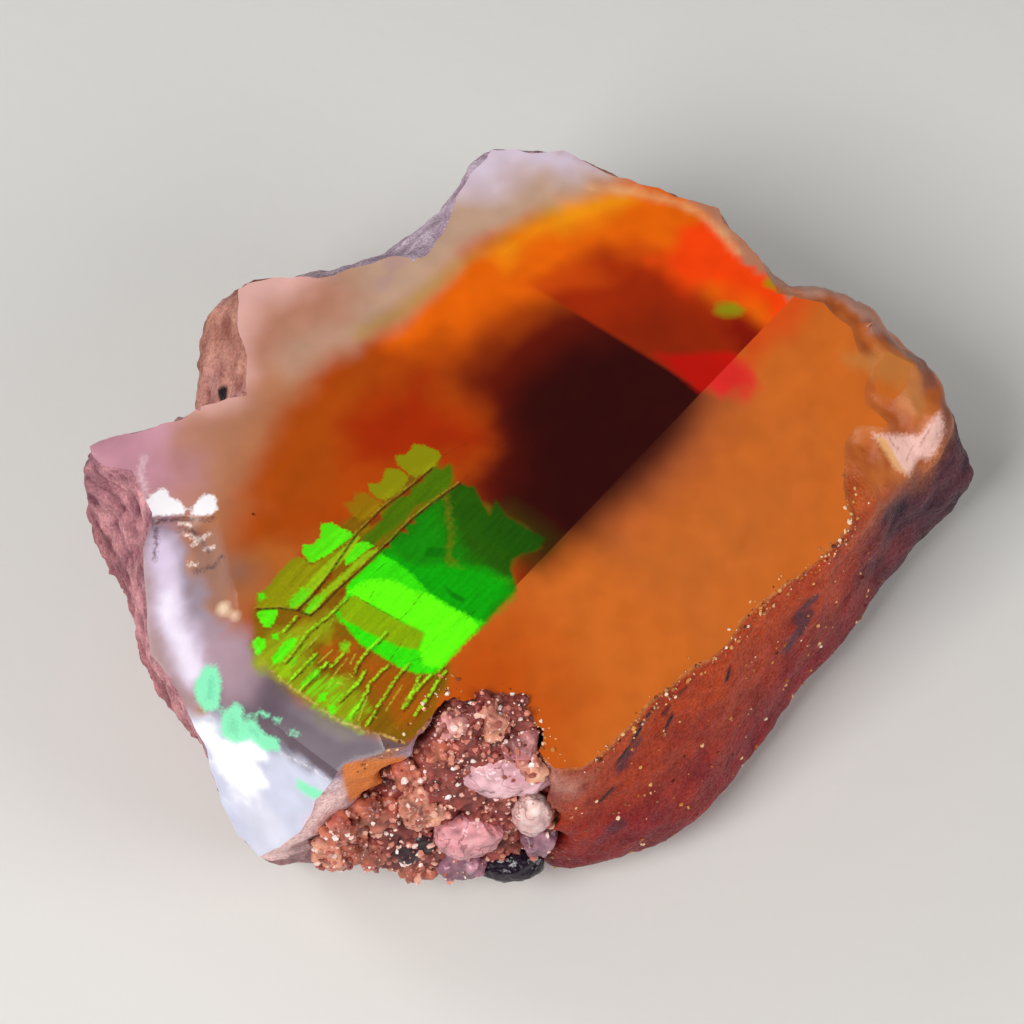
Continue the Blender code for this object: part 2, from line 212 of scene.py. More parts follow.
def openFacets(shape, layer):  # leaves the skin, and the lines where faces meet
    sides = [shape.edges.layers.int.new(name) for name in ("sideA", "sideB")]
    for edge in shape.edges:
        found = [face[layer] for face in edge.link_faces]
        if len(found) == 2 and found[0] != found[1]:
            edge[sides[0]], edge[sides[1]] = found
    flat = [face for face in shape.faces if face[layer]]
    bmesh.ops.delete(shape, geom=flat, context="FACES_ONLY")
    inner = [e for e in shape.edges if not e.link_faces and not (e[sides[0]] or e[sides[1]])]
    bmesh.ops.delete(shape, geom=inner, context="EDGES")
    bmesh.ops.delete(shape, geom=[v for v in shape.verts if not v.link_edges], context="VERTS")
    return sides


def refine(shape, longest):  # halves edges until none is longer
    for _ in range(stoneMesh["halvings"]):
        tooLong = [edge for edge in shape.edges if edge.calc_length() > longest]
        if not tooLong:
            break
        bmesh.ops.subdivide_edges(shape, edges=tooLong, cuts=1)
        many = [face for face in shape.faces if len(face.verts) > 3]
        bmesh.ops.triangulate(shape, faces=many, quad_method="SHORT_EDGE")


def borderVertices(shape, sides):  # corners on the lines between faces, with the faces they touch
    found = {}
    for edge in shape.edges:
        touching = {edge[sides[0]], edge[sides[1]]}
        if len(touching) == 2:
            for vertex in edge.verts:
                found.setdefault(vertex, set()).update(touching)
    return found


def smoothSkin(shape, sides, passes):
    fixed = borderVertices(shape, sides)
    relax(shape, [vertex for vertex in shape.verts if vertex not in fixed], passes)


def chipRims(shape, sides):  # moves the rims within their own plane, so the flats stay flat
    for vertex, touching in borderVertices(shape, sides).items():
        touched = touching - {0}
        if len(touched) == 1 and 0 in touching:
            name, _, normal = facets[min(touched) - 1]
            if name in stoneMesh["chippedFaces"]:
                stray = noise.noise_vector(vertex.co / stoneMesh["chipSize"]) * stoneMesh["chipped"]
                fine = noise.noise_vector(vertex.co / stoneMesh["fineChipSize"])
                stray += fine * stoneMesh["chipped"] * stoneMesh["fineChipShare"]
                vertex.co += stray - normal * stray.dot(normal)


def wearTip(shape):  # rounds the thin tip of the left flat
    tip = Vector(stoneMesh["wornTip"]) + drawingZero
    near = [vertex for vertex in shape.verts if (vertex.co - tip).length < stoneMesh["tipReach"]]
    relax(shape, near, stoneMesh["tipPasses"])


def blendBreaks(shape, layer, sides):  # runs the breaks into each other and into the left flat
    soft = {i for i, name in enumerate(facetNames) if name.startswith(stoneMesh["softBreaks"])}
    softer = soft | {facetNames.index("leftFlat")}
    kinds = {}
    for face in shape.faces:
        for vertex in face.verts:
            kinds.setdefault(vertex, set()).add(face[layer])
    tree = searchTree([v.co for v, found in kinds.items() if found & soft and found <= softer])
    free = [v for v, found in kinds.items()
            if found & softer and found <= softer and tree.find(v.co)[2] < stoneMesh["seamReach"]]
    relax(shape, free, stoneMesh["breakPasses"])
    for edge in shape.edges:
        found = {face[layer] for face in edge.link_faces}
        if len(found) == 2 and found <= softer:
            edge[sides[0]] = edge[sides[1]] = 0


def insideLoops(points, corners, edges):  # even-odd test against a set of closed loops
    inside = np.zeros(len(points), bool)
    a, b = corners[edges[:, 0]], corners[edges[:, 1]]
    rise = np.where(b[:, 1] == a[:, 1], tiny, b[:, 1] - a[:, 1])
    for first in range(0, len(points), stoneMesh["block"]):
        some = slice(first, first + stoneMesh["block"])
        x, y = points[some, 0][:, None], points[some, 1][:, None]
        spans = (a[:, 1] > y) != (b[:, 1] > y)
        meets = a[:, 0] + (y - a[:, 1]) * (b[:, 0] - a[:, 0]) / rise
        inside[some] = (np.sum(spans & (x < meets), axis=1) % 2).astype(bool)
    return inside


def scatterInside(low, high, step, chance):  # a jittered triangular grid over a box
    rows = np.arange(low[1], high[1], step * stoneMesh["rowStep"])
    columns = np.arange(low[0], high[0], step)
    grid = np.array([(x + step * 0.5 * (row % 2), y) for row, y in enumerate(rows) for x in columns])
    return grid + chance.uniform(-stoneMesh["jitter"], stoneMesh["jitter"], grid.shape) * step


def fillFacet(shape, sides, index, steps):  # closes one flat face with even triangles, up to its rim
    _, point, normal = facets[index - 1]
    border = [e for e in shape.edges
              if index in (e[sides[0]], e[sides[1]]) and e[sides[0]] != e[sides[1]]]
    if len(border) < 3:
        return
    corners = list(dict.fromkeys(vertex for edge in border for vertex in edge.verts))
    place = {vertex: i for i, vertex in enumerate(corners)}
    first = normal.orthogonal().normalized()
    second = normal.cross(first)
    flat = np.array([((v.co - point).dot(first), (v.co - point).dot(second)) for v in corners])
    edges = np.array([(place[e.verts[0]], place[e.verts[1]]) for e in border])
    chance = np.random.default_rng(stoneMesh["seed"] + index)
    tree = searchTree([(x, y, 0) for x, y in flat])
    added = []
    for step, keep in steps:
        grid = scatterInside(flat.min(0), flat.max(0), step, chance)
        grid = grid[insideLoops(grid, flat, edges)]
        away = step * stoneMesh["rimGap"]
        grid = np.array([p for p in grid if tree.find((*p, 0))[2] > away]).reshape(-1, 2)
        spots = np.array(point) + grid @ np.array([first, second])
        along, across = ridgePlace(spots[:, 0], spots[:, 1]) if len(spots) else ([], [])
        added.append(grid[keep(along, across)] if len(spots) else grid)
    inner = np.concatenate(added)
    everything = [Vector(p) for p in np.concatenate([flat, inner])]
    merged, _, triangles, origins, _, _ = geometry.delaunay_2d_cdt(
        everything, edges.tolist(), [], 0, stoneMesh["mergeWithin"], True)
    fresh = []
    for spot, sources in zip(merged, origins):
        old = [corners[i] for i in sources if i < len(corners)]
        fresh.append(old[0] if old else shape.verts.new(point + first * spot.x + second * spot.y))
    middles = np.array([[sum(merged[i].x for i in t) / 3, sum(merged[i].y for i in t) / 3]
                        for t in triangles])
    layer = shape.faces.layers.int["facet"]
    for triangle, isInside in zip(triangles, insideLoops(middles, flat, edges)):
        ring = [fresh[i] for i in triangle]
        if isInside and len(set(ring)) == 3:
            doubled = shape.faces.get(ring)
            if doubled:  # a sliver of skin lies in this plane: the two cancel
                shape.faces.remove(doubled)
            else:
                shape.faces.new(ring)[layer] = index


def everywhere(along, across):
    return np.ones(len(along), bool)


def inFire(along, across):
    low, high, near, far = stoneMesh["fireField"]
    return (along > low) & (along < high) & (across > near) & (across < far)


def outsideFire(along, across):
    return ~inFire(along, across)


def fineStone():
    shape = cadCopy("opal")
    layer = markFacets(shape)
    sides = openFacets(shape, layer)
    refine(shape, stoneMesh["roughEdge"])
    smoothSkin(shape, sides, stoneMesh["smoothing"][0])
    refine(shape, stoneMesh["skinEdge"])
    smoothSkin(shape, sides, stoneMesh["smoothing"][1])
    chipRims(shape, sides)
    wearTip(shape)
    for index, (name, _, _) in enumerate(facets, 1):
        steps = [(stoneMesh["breakStep"], everywhere)]
        if name in ("leftFlat", "rightFlat"):
            steps = [(stoneMesh["windowStep"], outsideFire), (stoneMesh["fireStep"], inFire)]
        elif name == "foot":
            steps = [(stoneMesh["footStep"], everywhere)]
        fillFacet(shape, sides, index, steps)
        print("facet", name, "filled:", len(shape.faces), "faces so far")
    blendBreaks(shape, layer, sides)
    bmesh.ops.recalc_face_normals(shape, faces=shape.faces)
    return shape, layer, sides


# relief: natural skin with waves, grains, pits and lumps, and faintly rippled breaks
skinRelief = {
    "fade": 0.45,            # the relief comes in over this distance from a facet's border
    "wave": 1.25,            # size of the main roughness
    "grainWave": 0.42,
    "pitSpacing": 0.80,
    "pitReach": 0.42,        # radius of a pit, as a share of the spacing
    "lumpSpacing": 1.9,
    "lumpLevel": 0.4,        # the skin rises where a lump's middle is nearer than this, and dips beyond
    "leastShare": 0.01,      # a kind of skin with less share than this at a point is left out
    # height of each sort of relief on each kind of skin
    "left": {"wave": 0.22, "grain": 0.15, "pits": 0.40, "lumps": 0.08},
    "flank": {"wave": 0.08, "grain": 0.05, "pits": 0.05, "lumps": 0.07},
    "end": {"wave": 0.12, "grain": 0.04, "pits": 0.05, "lumps": 0.30},
    "milk": {"wave": 0.14, "grain": 0.06, "pits": 0.08, "lumps": 0.22},
    "back": {"wave": 0.18, "grain": 0.08, "pits": 0.20, "lumps": 0.15},
    "breakWave": 2.2,        # ripples on the broken faces
    "breakHeight": 0.07,
    "hollow": 0.06,          # depth to which a broken face is dished
    "dishReach": 1.8,
    # where each kind of skin lies: directions from the stone's middle, in degrees
    "arcs": {
        "left": ((168, 226),),
        "flank": ((-86, -4),),
        "end": ((-4, 40),),
        "milk": ((86, 138), (226, 262)),
        "back": ((40, 86), (138, 168), (262, 274)),
    },
    "arcBlend": 20.0,        # degrees over which one kind of skin passes into the next
    "arcStray": 14.0,        # degrees that this line wanders
    "strayWave": 4.5,
}


def ease(value, low, high):  # 0 below, 1 above, and a smooth way between them
    share = np.clip((value - low) / (high - low), 0, 1)
    return share * share * (3 - 2 * share)


def skinShares(points):  # how much of each kind of skin there is at each point
    turn = np.degrees(np.arctan2(points[:, 1] - drawingZero.y, points[:, 0] - drawingZero.x))
    turn += skinRelief["arcStray"] * np.array([waver(p, skinRelief["strayWave"]) for p in points])
    blend = skinRelief["arcBlend"] / 2
    shares = {}
    for kind, arcs in skinRelief["arcs"].items():
        total = np.zeros(len(points))
        for low, high in arcs:
            middle, half = (low + high) / 2, (high - low) / 2
            away = np.abs((turn - middle + 180) % 360 - 180)
            total += 1 - ease(away, half - blend, half + blend)
        shares[kind] = np.clip(total, 0, 1)
    whole = sum(shares.values()) + 1e-6  # never quite nothing
    return {kind: share / whole for kind, share in shares.items()}


def reliefAt(place, shares, index):
    wave = waver(place, skinRelief["wave"])
    grain = noise.noise(place / skinRelief["grainWave"])
    nearest = noise.voronoi(place / skinRelief["pitSpacing"])[0]
    pit = max(0.0, 1 - nearest[0] / skinRelief["pitReach"])
    lump = skinRelief["lumpLevel"] - noise.voronoi(place / skinRelief["lumpSpacing"] + up)[0][0]
    height = 0.0
    for kind, share in shares.items():
        weight = share[index]
        if weight > skinRelief["leastShare"]:
            amounts = skinRelief[kind]
            height += weight * (amounts["wave"] * wave + amounts["grain"] * grain
                                - amounts["pits"] * pit * pit + amounts["lumps"] * lump)
    return height


def roughenStone(shape, layer, sides):  # relief on the skin and the breaks; the flats stay flat
    shape.verts.index_update()
    leftFlat = facetNames.index("leftFlat")
    border = set(borderVertices(shape, sides))
    for edge in shape.edges:
        found = {face[layer] for face in edge.link_faces}
        if len(found) == 2 and leftFlat in found:
            border.update(edge.verts)
    tree = searchTree([vertex.co for vertex in border])
    points = np.array([v.co for v in shape.verts])
    shares = skinShares(points)
    kinds = {}
    for face in shape.faces:
        for vertex in face.verts:
            kinds.setdefault(vertex, face[layer])
    shape.normal_update()
    relief = np.zeros(len(points))
    edgeDistance = np.zeros(len(points))
    moves = []
    for vertex in shape.verts:
        if vertex in border:
            continue
        distance = tree.find(vertex.co)[2]
        edgeDistance[vertex.index] = distance
        name = facetNames[kinds.get(vertex, 0)]
        fade = min(1.0, distance / skinRelief["fade"])
        if name == "skin":
            height = reliefAt(vertex.co, shares, vertex.index) * fade
        elif name in ("leftFlat", "rightFlat", "foot"):
            continue
        else:
            wave = waver(vertex.co, skinRelief["breakWave"])
            dish = min(1.0, distance / skinRelief["dishReach"])
            dish *= dish * (3 - 2 * dish)
            height = skinRelief["breakHeight"] * wave * dish - skinRelief["hollow"] * dish
        relief[vertex.index] = height
        moves.append((vertex, vertex.normal * height))
    for vertex, move in moves:
        vertex.co += move
        vertex.co.z = max(vertex.co.z, 0.0)
    return shares, relief, edgeDistance, kinds


# Colour zones, each laid over the ones before it, in millimetres:
#   outlines, strokes: along and across the ridge
#   facing, marks: across and up, as seen from the front and 60 degrees up
#   lines, spots: x, y, z in the drawing; a spot's radius comes last
#   soft: half width of the edge; wobble: how far noise moves it; width: half width of a stroke
#   glow: painted light that the zone sends out; clear: light let through; beyond: only past the panel's line
gelZones = [    # the gel under the left flat
    dict(name="amber", colour="#B44404", soft=1.2, wobble=1.0, glow=0.02,
         outlines=[[(-1.0, 10.2), (3, 11.2), (6, 12.6), (9, 13.6), (12, 13.6), (16, 13.2), (20, 12), (26, 8),
                    (26, -1), (-4, -1), (-4, 7)]]),
    dict(name="rusty", colour="#B04A08", soft=2.0, wobble=1.2, glow=0.02,
         outlines=[[(-1.5, 8.0), (3.0, 8.6), (6.0, 9.8), (9.0, 11.0), (6.0, 12.4), (2.0, 11.4),
                    (-1.5, 10.0)]]),
    dict(name="warm", colour="#E66202", soft=1.1, wobble=0.8, glow=0.12,
         outlines=[[(10.8, 11.4), (13, 12.4), (17, 12.4), (20.6, 11.6), (23.4, 9.6), (25.4, 6), (25, 0),
                    (20, -1), (18.3, 3), (17.6, 6.8), (15.5, 8.7), (12.8, 9.2)]]),
    dict(name="ember", colour="#AA2C01", soft=0.9, wobble=0.8, glow=0.02,
         outlines=[[(5.6, 8.8), (6.6, 7), (7.9, 6.1), (8.6, 5.3), (9.7, 4.8), (10.5, 5.4), (10.1, 6.9),
                    (9.8, 7.9), (10.4, 9.2), (8.6, 10.2), (6.8, 10.0)]]),
    dict(name="cocoa", colour="#661404", soft=1.15, wobble=0.7,
         outlines=[[(4.9, -1.5), (5.9, 0.6), (6.9, 2.6), (7.8, 4.3), (9.4, 4.8), (10.5, 6.4), (11.3, 8.2),
                    (13.7, 8.4), (16.1, 7.5), (19, 6.6), (19.5, 2.3), (19.3, -1.5)]]),
    dict(name="core", colour="#3C0502", soft=1.5, wobble=0.5, clear=0.3,
         outlines=[[(6.4, -1.5), (7.2, 0.8), (8.1, 2.8), (10.0, 4.0), (11.2, 5.4), (13.2, 5.9), (16, 5.1),
                    (19.6, 4.4), (19.5, -1.5)]]),
    dict(name="panel", colour="#A62A02", soft=0.95, wobble=0.5, glow=0.03, beyond=True,
         outlines=[[(15, 8.0), (17.4, 8.4), (19.8, 7.7), (21.2, 5.6), (21.2, 2.6), (20.8, 1.2),
                    (20.4, -1), (15, -1)]]),
    dict(name="tongue", colour="#D24A06", soft=0.7, wobble=0.9, glow=0.05, strength=0.7,
         outlines=[[(16.6, 8.4), (17.4, 7.2), (18.6, 6.6), (19.0, 7.6), (18.2, 8.8)],
                   [(20.2, 6.6), (20.9, 5.0), (21.0, 3.4), (21.5, 3.4), (21.8, 5.2), (21.2, 7.0)]]),
    dict(name="blaze", colour="#F04004", soft=0.7, wobble=0.9, glow=0.16,
         outlines=[[(20.9, 5.4), (22.6, 5.8), (24, 4.9), (25, 3.5), (24.6, -0.6), (21.4, -0.6), (21.6, 0.8),
                    (21.0, 1.6), (20.7, 3.0), (20.6, 4.4)]]),
    dict(name="gold", colour="#F0920E", soft=0.8, wobble=0.7, glow=0.12,
         outlines=[[(16.8, 11.2), (18.6, 11.0), (20.6, 10.6), (22.6, 9.2), (22.8, 8.0), (20.8, 8.8),
                    (18.6, 10.0), (16.8, 10.6)]]),
    dict(name="garnet", colour="#8A1402", soft=0.6, wobble=0.6,
         outlines=[[(19.5, -0.5), (20.9, -0.4), (21.4, 0.9), (20.9, 1.9), (19.6, 1.2)]]),
    dict(name="milkTop", colour="#C8A288", soft=0.9, wobble=0.6,
         outlines=[[(6.6, 13.4), (9.5, 12.9), (12.1, 12.2), (15.6, 12.0), (18.0, 11.5), (19.6, 11.0),
                    (20.8, 10.8), (22.0, 10.0), (22.9, 9.2), (24.5, 9.0), (27, 12), (30, 12),
                    (18, 22), (6, 18)]]),
    dict(name="rimSkin", colour="#B87C60", soft=0.22, wobble=0.25,
         outlines=[[(24.2, 6.4), (24.0, 5.2), (23.7, 3.9), (23.2, 2.5), (23.2, 1.2), (22.9, -0.6), (25, -0.6),
                    (26, 3), (25.8, 5.6)]]),
    dict(name="rimCream", colour="#EEB87E", soft=0.30, wobble=0.10, width=0.10, strength=0.85,
         strokes=[[(22.0, 10.0), (23.0, 8.6), (23.6, 7.2), (23.9, 5.8), (23.8, 4.6), (23.4, 3.2)]]),
    dict(name="milkSide", colour="#BE836A", soft=1.5, wobble=0.7,
         outlines=[[(-1.6, 11.6), (0.6, 12.1), (3.0, 13.2), (5.4, 13.9), (7.8, 14.0), (12, 13.9),
                    (12, 22), (-10, 22), (-12, 8.2), (-3.6, 9.0)]]),
    dict(name="honey", colour="#BC6C2C", soft=0.8, wobble=0.7, strength=0.7,
         outlines=[[(-2.6, 8.2), (-1.4, 7.2), (0.8, 7.0), (2.0, 7.6), (1.0, 8.8), (-1.0, 9.4)]]),
    dict(name="lilac", colour="#E0A8BE", soft=0.7, wobble=0.5, strength=0.8,
         outlines=[[(-1.2, 14.6), (0.8, 15.0), (2.2, 15.6), (2.4, 18.0), (-3.0, 18.0), (-3.0, 14.8)]]),
    dict(name="umber", colour="#A86844", soft=1.2, wobble=1.2, strength=0.7,
         outlines=[[(-4.4, 7.6), (-2.6, 9.0), (-1.8, 11.4), (-0.6, 12.2), (0.4, 11.0), (-0.8, 9.0),
                    (-2.8, 7.2)]]),
    dict(name="milkTip", colour="#CA909E", soft=1.6, wobble=0.9,
         outlines=[[(-3.2, 12.2), (-1.2, 12.6), (1.2, 14.0), (2.4, 20), (-12, 20), (-12, 10), (-4.2, 10.4)]]),
    dict(name="milkBrink", colour="#F2BCB4", soft=0.9, wobble=0.5, strength=0.85,
         outlines=[[(4.6, 14.4), (5.8, 14.8), (6.2, 16.2), (8.4, 16.4), (11.4, 16.1), (12, 20), (2, 22),
                    (1.6, 17.0), (3.6, 15.0)]]),
    dict(name="milkWhite", colour="#E4D0E0", soft=0.9, wobble=0.8,
         outlines=[[(16.0, 17), (18.0, 14.5), (19.6, 13.3), (21.2, 12.4), (22.5, 11.1), (23.6, 9.7),
                    (24.8, 7.9), (27, 7), (27, 18), (16, 18)]]),
    dict(name="milkBloom", colour="#F3E2E4", soft=0.7, wobble=0.8, strength=0.7,
         outlines=[[(19.6, 16), (20.6, 14.6), (22.4, 13.6), (24, 12.4), (25, 14), (22, 18)]]),
    dict(name="edgeTint", colour="#AE940C", soft=0.55, wobble=0.25, strength=0.5, width=0.16,
         strokes=[[(20.0, 10.6), (18.6, 11.1), (17.0, 11.5), (15.6, 11.8), (13.8, 12.0), (12.1, 12.2),
                   (10.4, 12.7)]]),
    dict(name="milkSeam", colour="#B48C8C", soft=0.35, wobble=0.5, strength=0.6, width=0.12,
         strokes=[[(11.6, 15.4), (12.4, 14.0), (13.2, 13.6), (14.4, 14.4)],
                  [(22.6, 12.2), (23.0, 10.8), (24.2, 9.0)]]),
    # and on the broken corner, which the colours of the flat run into
    dict(name="fawn", colour="#9A6650", soft=0.6, wobble=0.9,
         facing=[[(-13.6, 3.9), (-12.4, 3.9), (-11.7, 3.2), (-11.6, 2.0), (-12.0, 0.6), (-12.7, 0.9),
                  (-13.3, 2.2)]]),
    dict(name="margin", colour="#AC8A8C", soft=0.35, wobble=0.3, width=0.62,
         marks=[[(-14.7, 3.7), (-14.85, 1.9), (-14.65, 0.4), (-14.15, -1.0), (-13.7, -2.0), (-13.0, -3.5)]]),
    dict(name="dusk", colour="#94818E", soft=0.5, wobble=0.5, width=0.75,
         marks=[[(-14.2, 3.2), (-13.6, 1.6), (-12.9, 0.2), (-12.3, -1.0)]]),
    dict(name="slate", colour="#66545F", soft=0.32, wobble=0.3,
         outlines=[[(-3.0, 6.7), (-3.55, 6.3), (-3.85, 5.7), (-3.7, 4.8), (-3.8, 3.8), (-3.7, 2.6),
                    (-3.6, 1.4), (-3.25, 0.4), (-3.07, -0.1), (-2.6, -1.1), (-1.5, -2.0), (-3, -5),
                    (-9, -5), (-9, 3.5), (-6.2, 6.2), (-4.6, 7.4)]]),
    dict(name="mauve", colour="#B0919C", soft=0.8, wobble=0.5,
         facing=[[(-12.4, -0.6), (-10.6, -1.0), (-9.9, -2.2), (-10.6, -3.2), (-11.4, -3.6), (-12.4, -2.2)]]),
    # the trough's milky lavender, lighter down its middle as a painted sheen, brightest low down
    dict(name="pearl", colour="#D8C4DC", soft=0.5, wobble=0.2, width=0.60,
         marks=[[(-14.2, 2.6), (-14.0, 1.3), (-13.7, -0.1), (-13.1, -1.4), (-12.6, -2.4)]]),
    dict(name="pearlLow", colour="#F2E6F6", soft=0.4, wobble=0.2, width=0.34,
         marks=[[(-13.9, 0.4), (-13.6, -0.6), (-13.1, -1.5), (-12.7, -2.4)]]),
    dict(name="olivine", colour="#6F6640", soft=0.35, wobble=0.4, strength=0.55, width=0.25,
         lines=[[(-9.9, -9.4, 13.6), (-9.0, -11.0, 13.6), (-7.2, -12.5, 13.6), (-4.8, -13.3, 13.7)]]),
    # near white with a faint glow over the broken corner: milky stone, lightened to a painted highlight where
    # it faces the light
    dict(name="frost", colour="#D2D4E8", soft=0.35, wobble=0.3, glow=0.03,
         facing=[[(-13.4, -4.0), (-11.6, -3.9), (-10.6, -4.6), (-9.2, -5.3), (-8.0, -6.0), (-6.9, -6.7),
                  (-6.8, -8.4), (-7.4, -10.8), (-9.2, -11.4), (-11.4, -9.8), (-12.6, -7.2)]]),
    dict(name="glare", colour="#FFFFFF", soft=0.3, wobble=0.4, glow=0.16,
         facing=[[(-12.5, -4.3), (-11.7, -4.2), (-11.5, -4.9), (-11.0, -5.2), (-10.3, -5.1), (-9.7, -5.6),
                  (-9.8, -6.7), (-10.1, -7.7), (-10.8, -7.6), (-11.5, -7.0), (-12.0, -6.0), (-12.4, -5.1)]]),
    # near white low on the corner face: milky stone with a painted highlight
    dict(name="haze", colour="#E8E6F4", soft=0.7, wobble=0.7, strength=0.8,
         facing=[[(-10.2, -7.2), (-9.2, -7.6), (-8.8, -8.8), (-9.2, -10.2), (-10.2, -9.4), (-10.8, -8.2)]]),
    dict(name="petal", colour="#F4C2D2", soft=0.5, wobble=0.5,
         facing=[[(-7.8, -7.6), (-6.4, -7.4), (-6.2, -9.6), (-7.0, -10.6), (-8.2, -9.8)]]),
]
paneZones = [   # the gel under the right flat, its ground paled by a painted milky reflection
    # the right flat's ground: orange gel, paled by a painted milky reflection
    dict(name="caramel", colour="#D66C24", soft=0.5, wobble=0.0,
         outlines=[[(-12, 20), (44, 20), (44, -40), (-12, -40)]]),
    dict(name="tawny", colour="#C6530F", soft=2.8, wobble=1.0,
         outlines=[[(-4, 1), (3.2, 1), (4.6, -1.5), (4, -5), (0, -7), (-4, -6)]]),
    dict(name="dun", colour="#C26A2E", soft=2.2, wobble=1.2, strength=0.45,
         outlines=[[(9, -2.0), (15, -2.6), (19, -3.4), (20, -6), (16, -7.4), (10, -6.4)]]),
    dict(name="plum", colour="#7E3C34", soft=1.9, wobble=0.4, strength=0.6,
         outlines=[[(7.6, 2.0), (18.4, 2.0), (17.8, -1.2), (13.5, -1.7), (10.0, -1.3)]]),
    dict(name="shade", colour="#300604", soft=1.0, wobble=0.2, strength=0.97,
         outlines=[[(4.9, 2.0), (17.4, 2.0), (17.0, -0.3), (13.0, -0.7), (9.3, -0.75), (6.6, -0.4)]]),
    dict(name="blush", colour="#DC2C26", soft=0.35, wobble=0.3, glow=0.08,
         outlines=[[(17.1, 0.9), (19.3, 0.9), (19.4, -0.5), (19.0, -1.2), (18.3, -1.3), (17.5, -0.8)]]),
    dict(name="flare", colour="#DE4A14", soft=0.7, wobble=0.6, strength=0.8,
         outlines=[[(19.4, 1.0), (24.5, 1.0), (24.0, -0.7), (21.8, -1.0), (19.8, -0.5)]]),
    dict(name="lobe", colour="#C67C3C", soft=0.5, wobble=0.4, strength=0.85,
         outlines=[[(22.8, -3.4), (24.6, -3.2), (25.6, -4.6), (24.6, -5.8), (22.8, -5.4)]]),
    dict(name="ash", colour="#6E5A5C", soft=0.2, wobble=0.3,
         outlines=[[(-2.7, -0.9), (-1.9, -1.5), (-1.2, -2.3), (-3, -5), (-9, -5), (-9, 0.5), (-3.1, 0.3)]]),
]
threadStrokes = [    # bright threads of the fan, at its frayed end
    [(-1.25, 5.8), (-1.6, 5.8), (-2.1, 5.75)], [(-1.0, 4.95), (-1.5, 5.0), (-2.2, 4.9), (-3.05, 4.8)],
    [(0.7, 4.85), (0.15, 4.85), (-0.5, 4.85), (-0.9, 4.95)], [(-1.95, 4.1), (-2.7, 4.1), (-3.5, 4.1)],
    [(-2.0, 3.5), (-2.6, 3.5), (-3.1, 3.5), (-3.6, 3.5)], [(-1.3, 3.25), (-1.7, 3.25), (-2.1, 3.25)],
    [(-1.3, 2.1), (-1.8, 2.0), (-2.1, 1.9)], [(-1.8, 2.0), (-2.4, 2.0), (-3.0, 2.0)],
    [(-0.6, 1.55), (-0.9, 1.6), (-1.7, 1.6), (-1.95, 1.45), (-2.6, 1.3), (-3.3, 1.2)],
    [(0.0, 1.0), (-0.8, 0.95), (-1.55, 0.8), (-2.1, 0.7), (-2.6, 0.6), (-3.2, 0.45)],
    [(-0.15, 0.3), (-0.9, 0.05), (-1.65, -0.1)], [(0.2, 0.0), (-0.6, 0.0), (-1.5, -0.1)],
    [(0.45, 2.6), (-0.15, 2.6), (-0.8, 2.6), (-1.3, 2.55), (-1.7, 2.35)],
    [(0.7, -0.30), (-0.1, -0.40), (-0.8, -0.55), (-1.5, -0.6)],
]
fineStrokes = [
    [(-0.45, 4.6), (-0.85, 4.5)], [(-1.4, 3.0), (-2.0, 2.95), (-2.5, 2.85), (-2.8, 2.7)],
    [(-1.3, 4.55), (-1.75, 4.55), (-2.25, 4.5)], [(-1.85, 2.5), (-1.85, 2.25)], [(-2.15, 2.65), (-2.0, 2.3)],
    [(-2.45, 2.6), (-2.3, 2.3)], [(-2.7, 0.6), (-2.6, 0.35)], [(-2.1, 1.3), (-2.8, 1.0), (-3.3, 0.8)],
    [(-0.9, 0.55), (-1.7, 0.4), (-2.2, 0.3)], [(-1.0, 2.9), (-1.5, 2.75)], [(-1.5, 3.7), (-2.3, 3.75)],
]
crackStrokes = [     # two dark cracks that run through the play of colour
    [(7.3, 6.15), (6.3, 6.2), (4.6, 6.45), (3.0, 6.45), (1.6, 6.2), (0.8, 6.05), (-0.05, 5.95),
     (-1.05, 5.95), (-1.4, 6.55), (-2.05, 7.25)],
    [(7.5, 4.8), (6.5, 5.0), (5.0, 5.2), (3.8, 5.2), (2.2, 5.25), (0.6, 5.35), (-0.4, 5.35), (-0.9, 5.4),
     (-1.05, 5.95)],
]
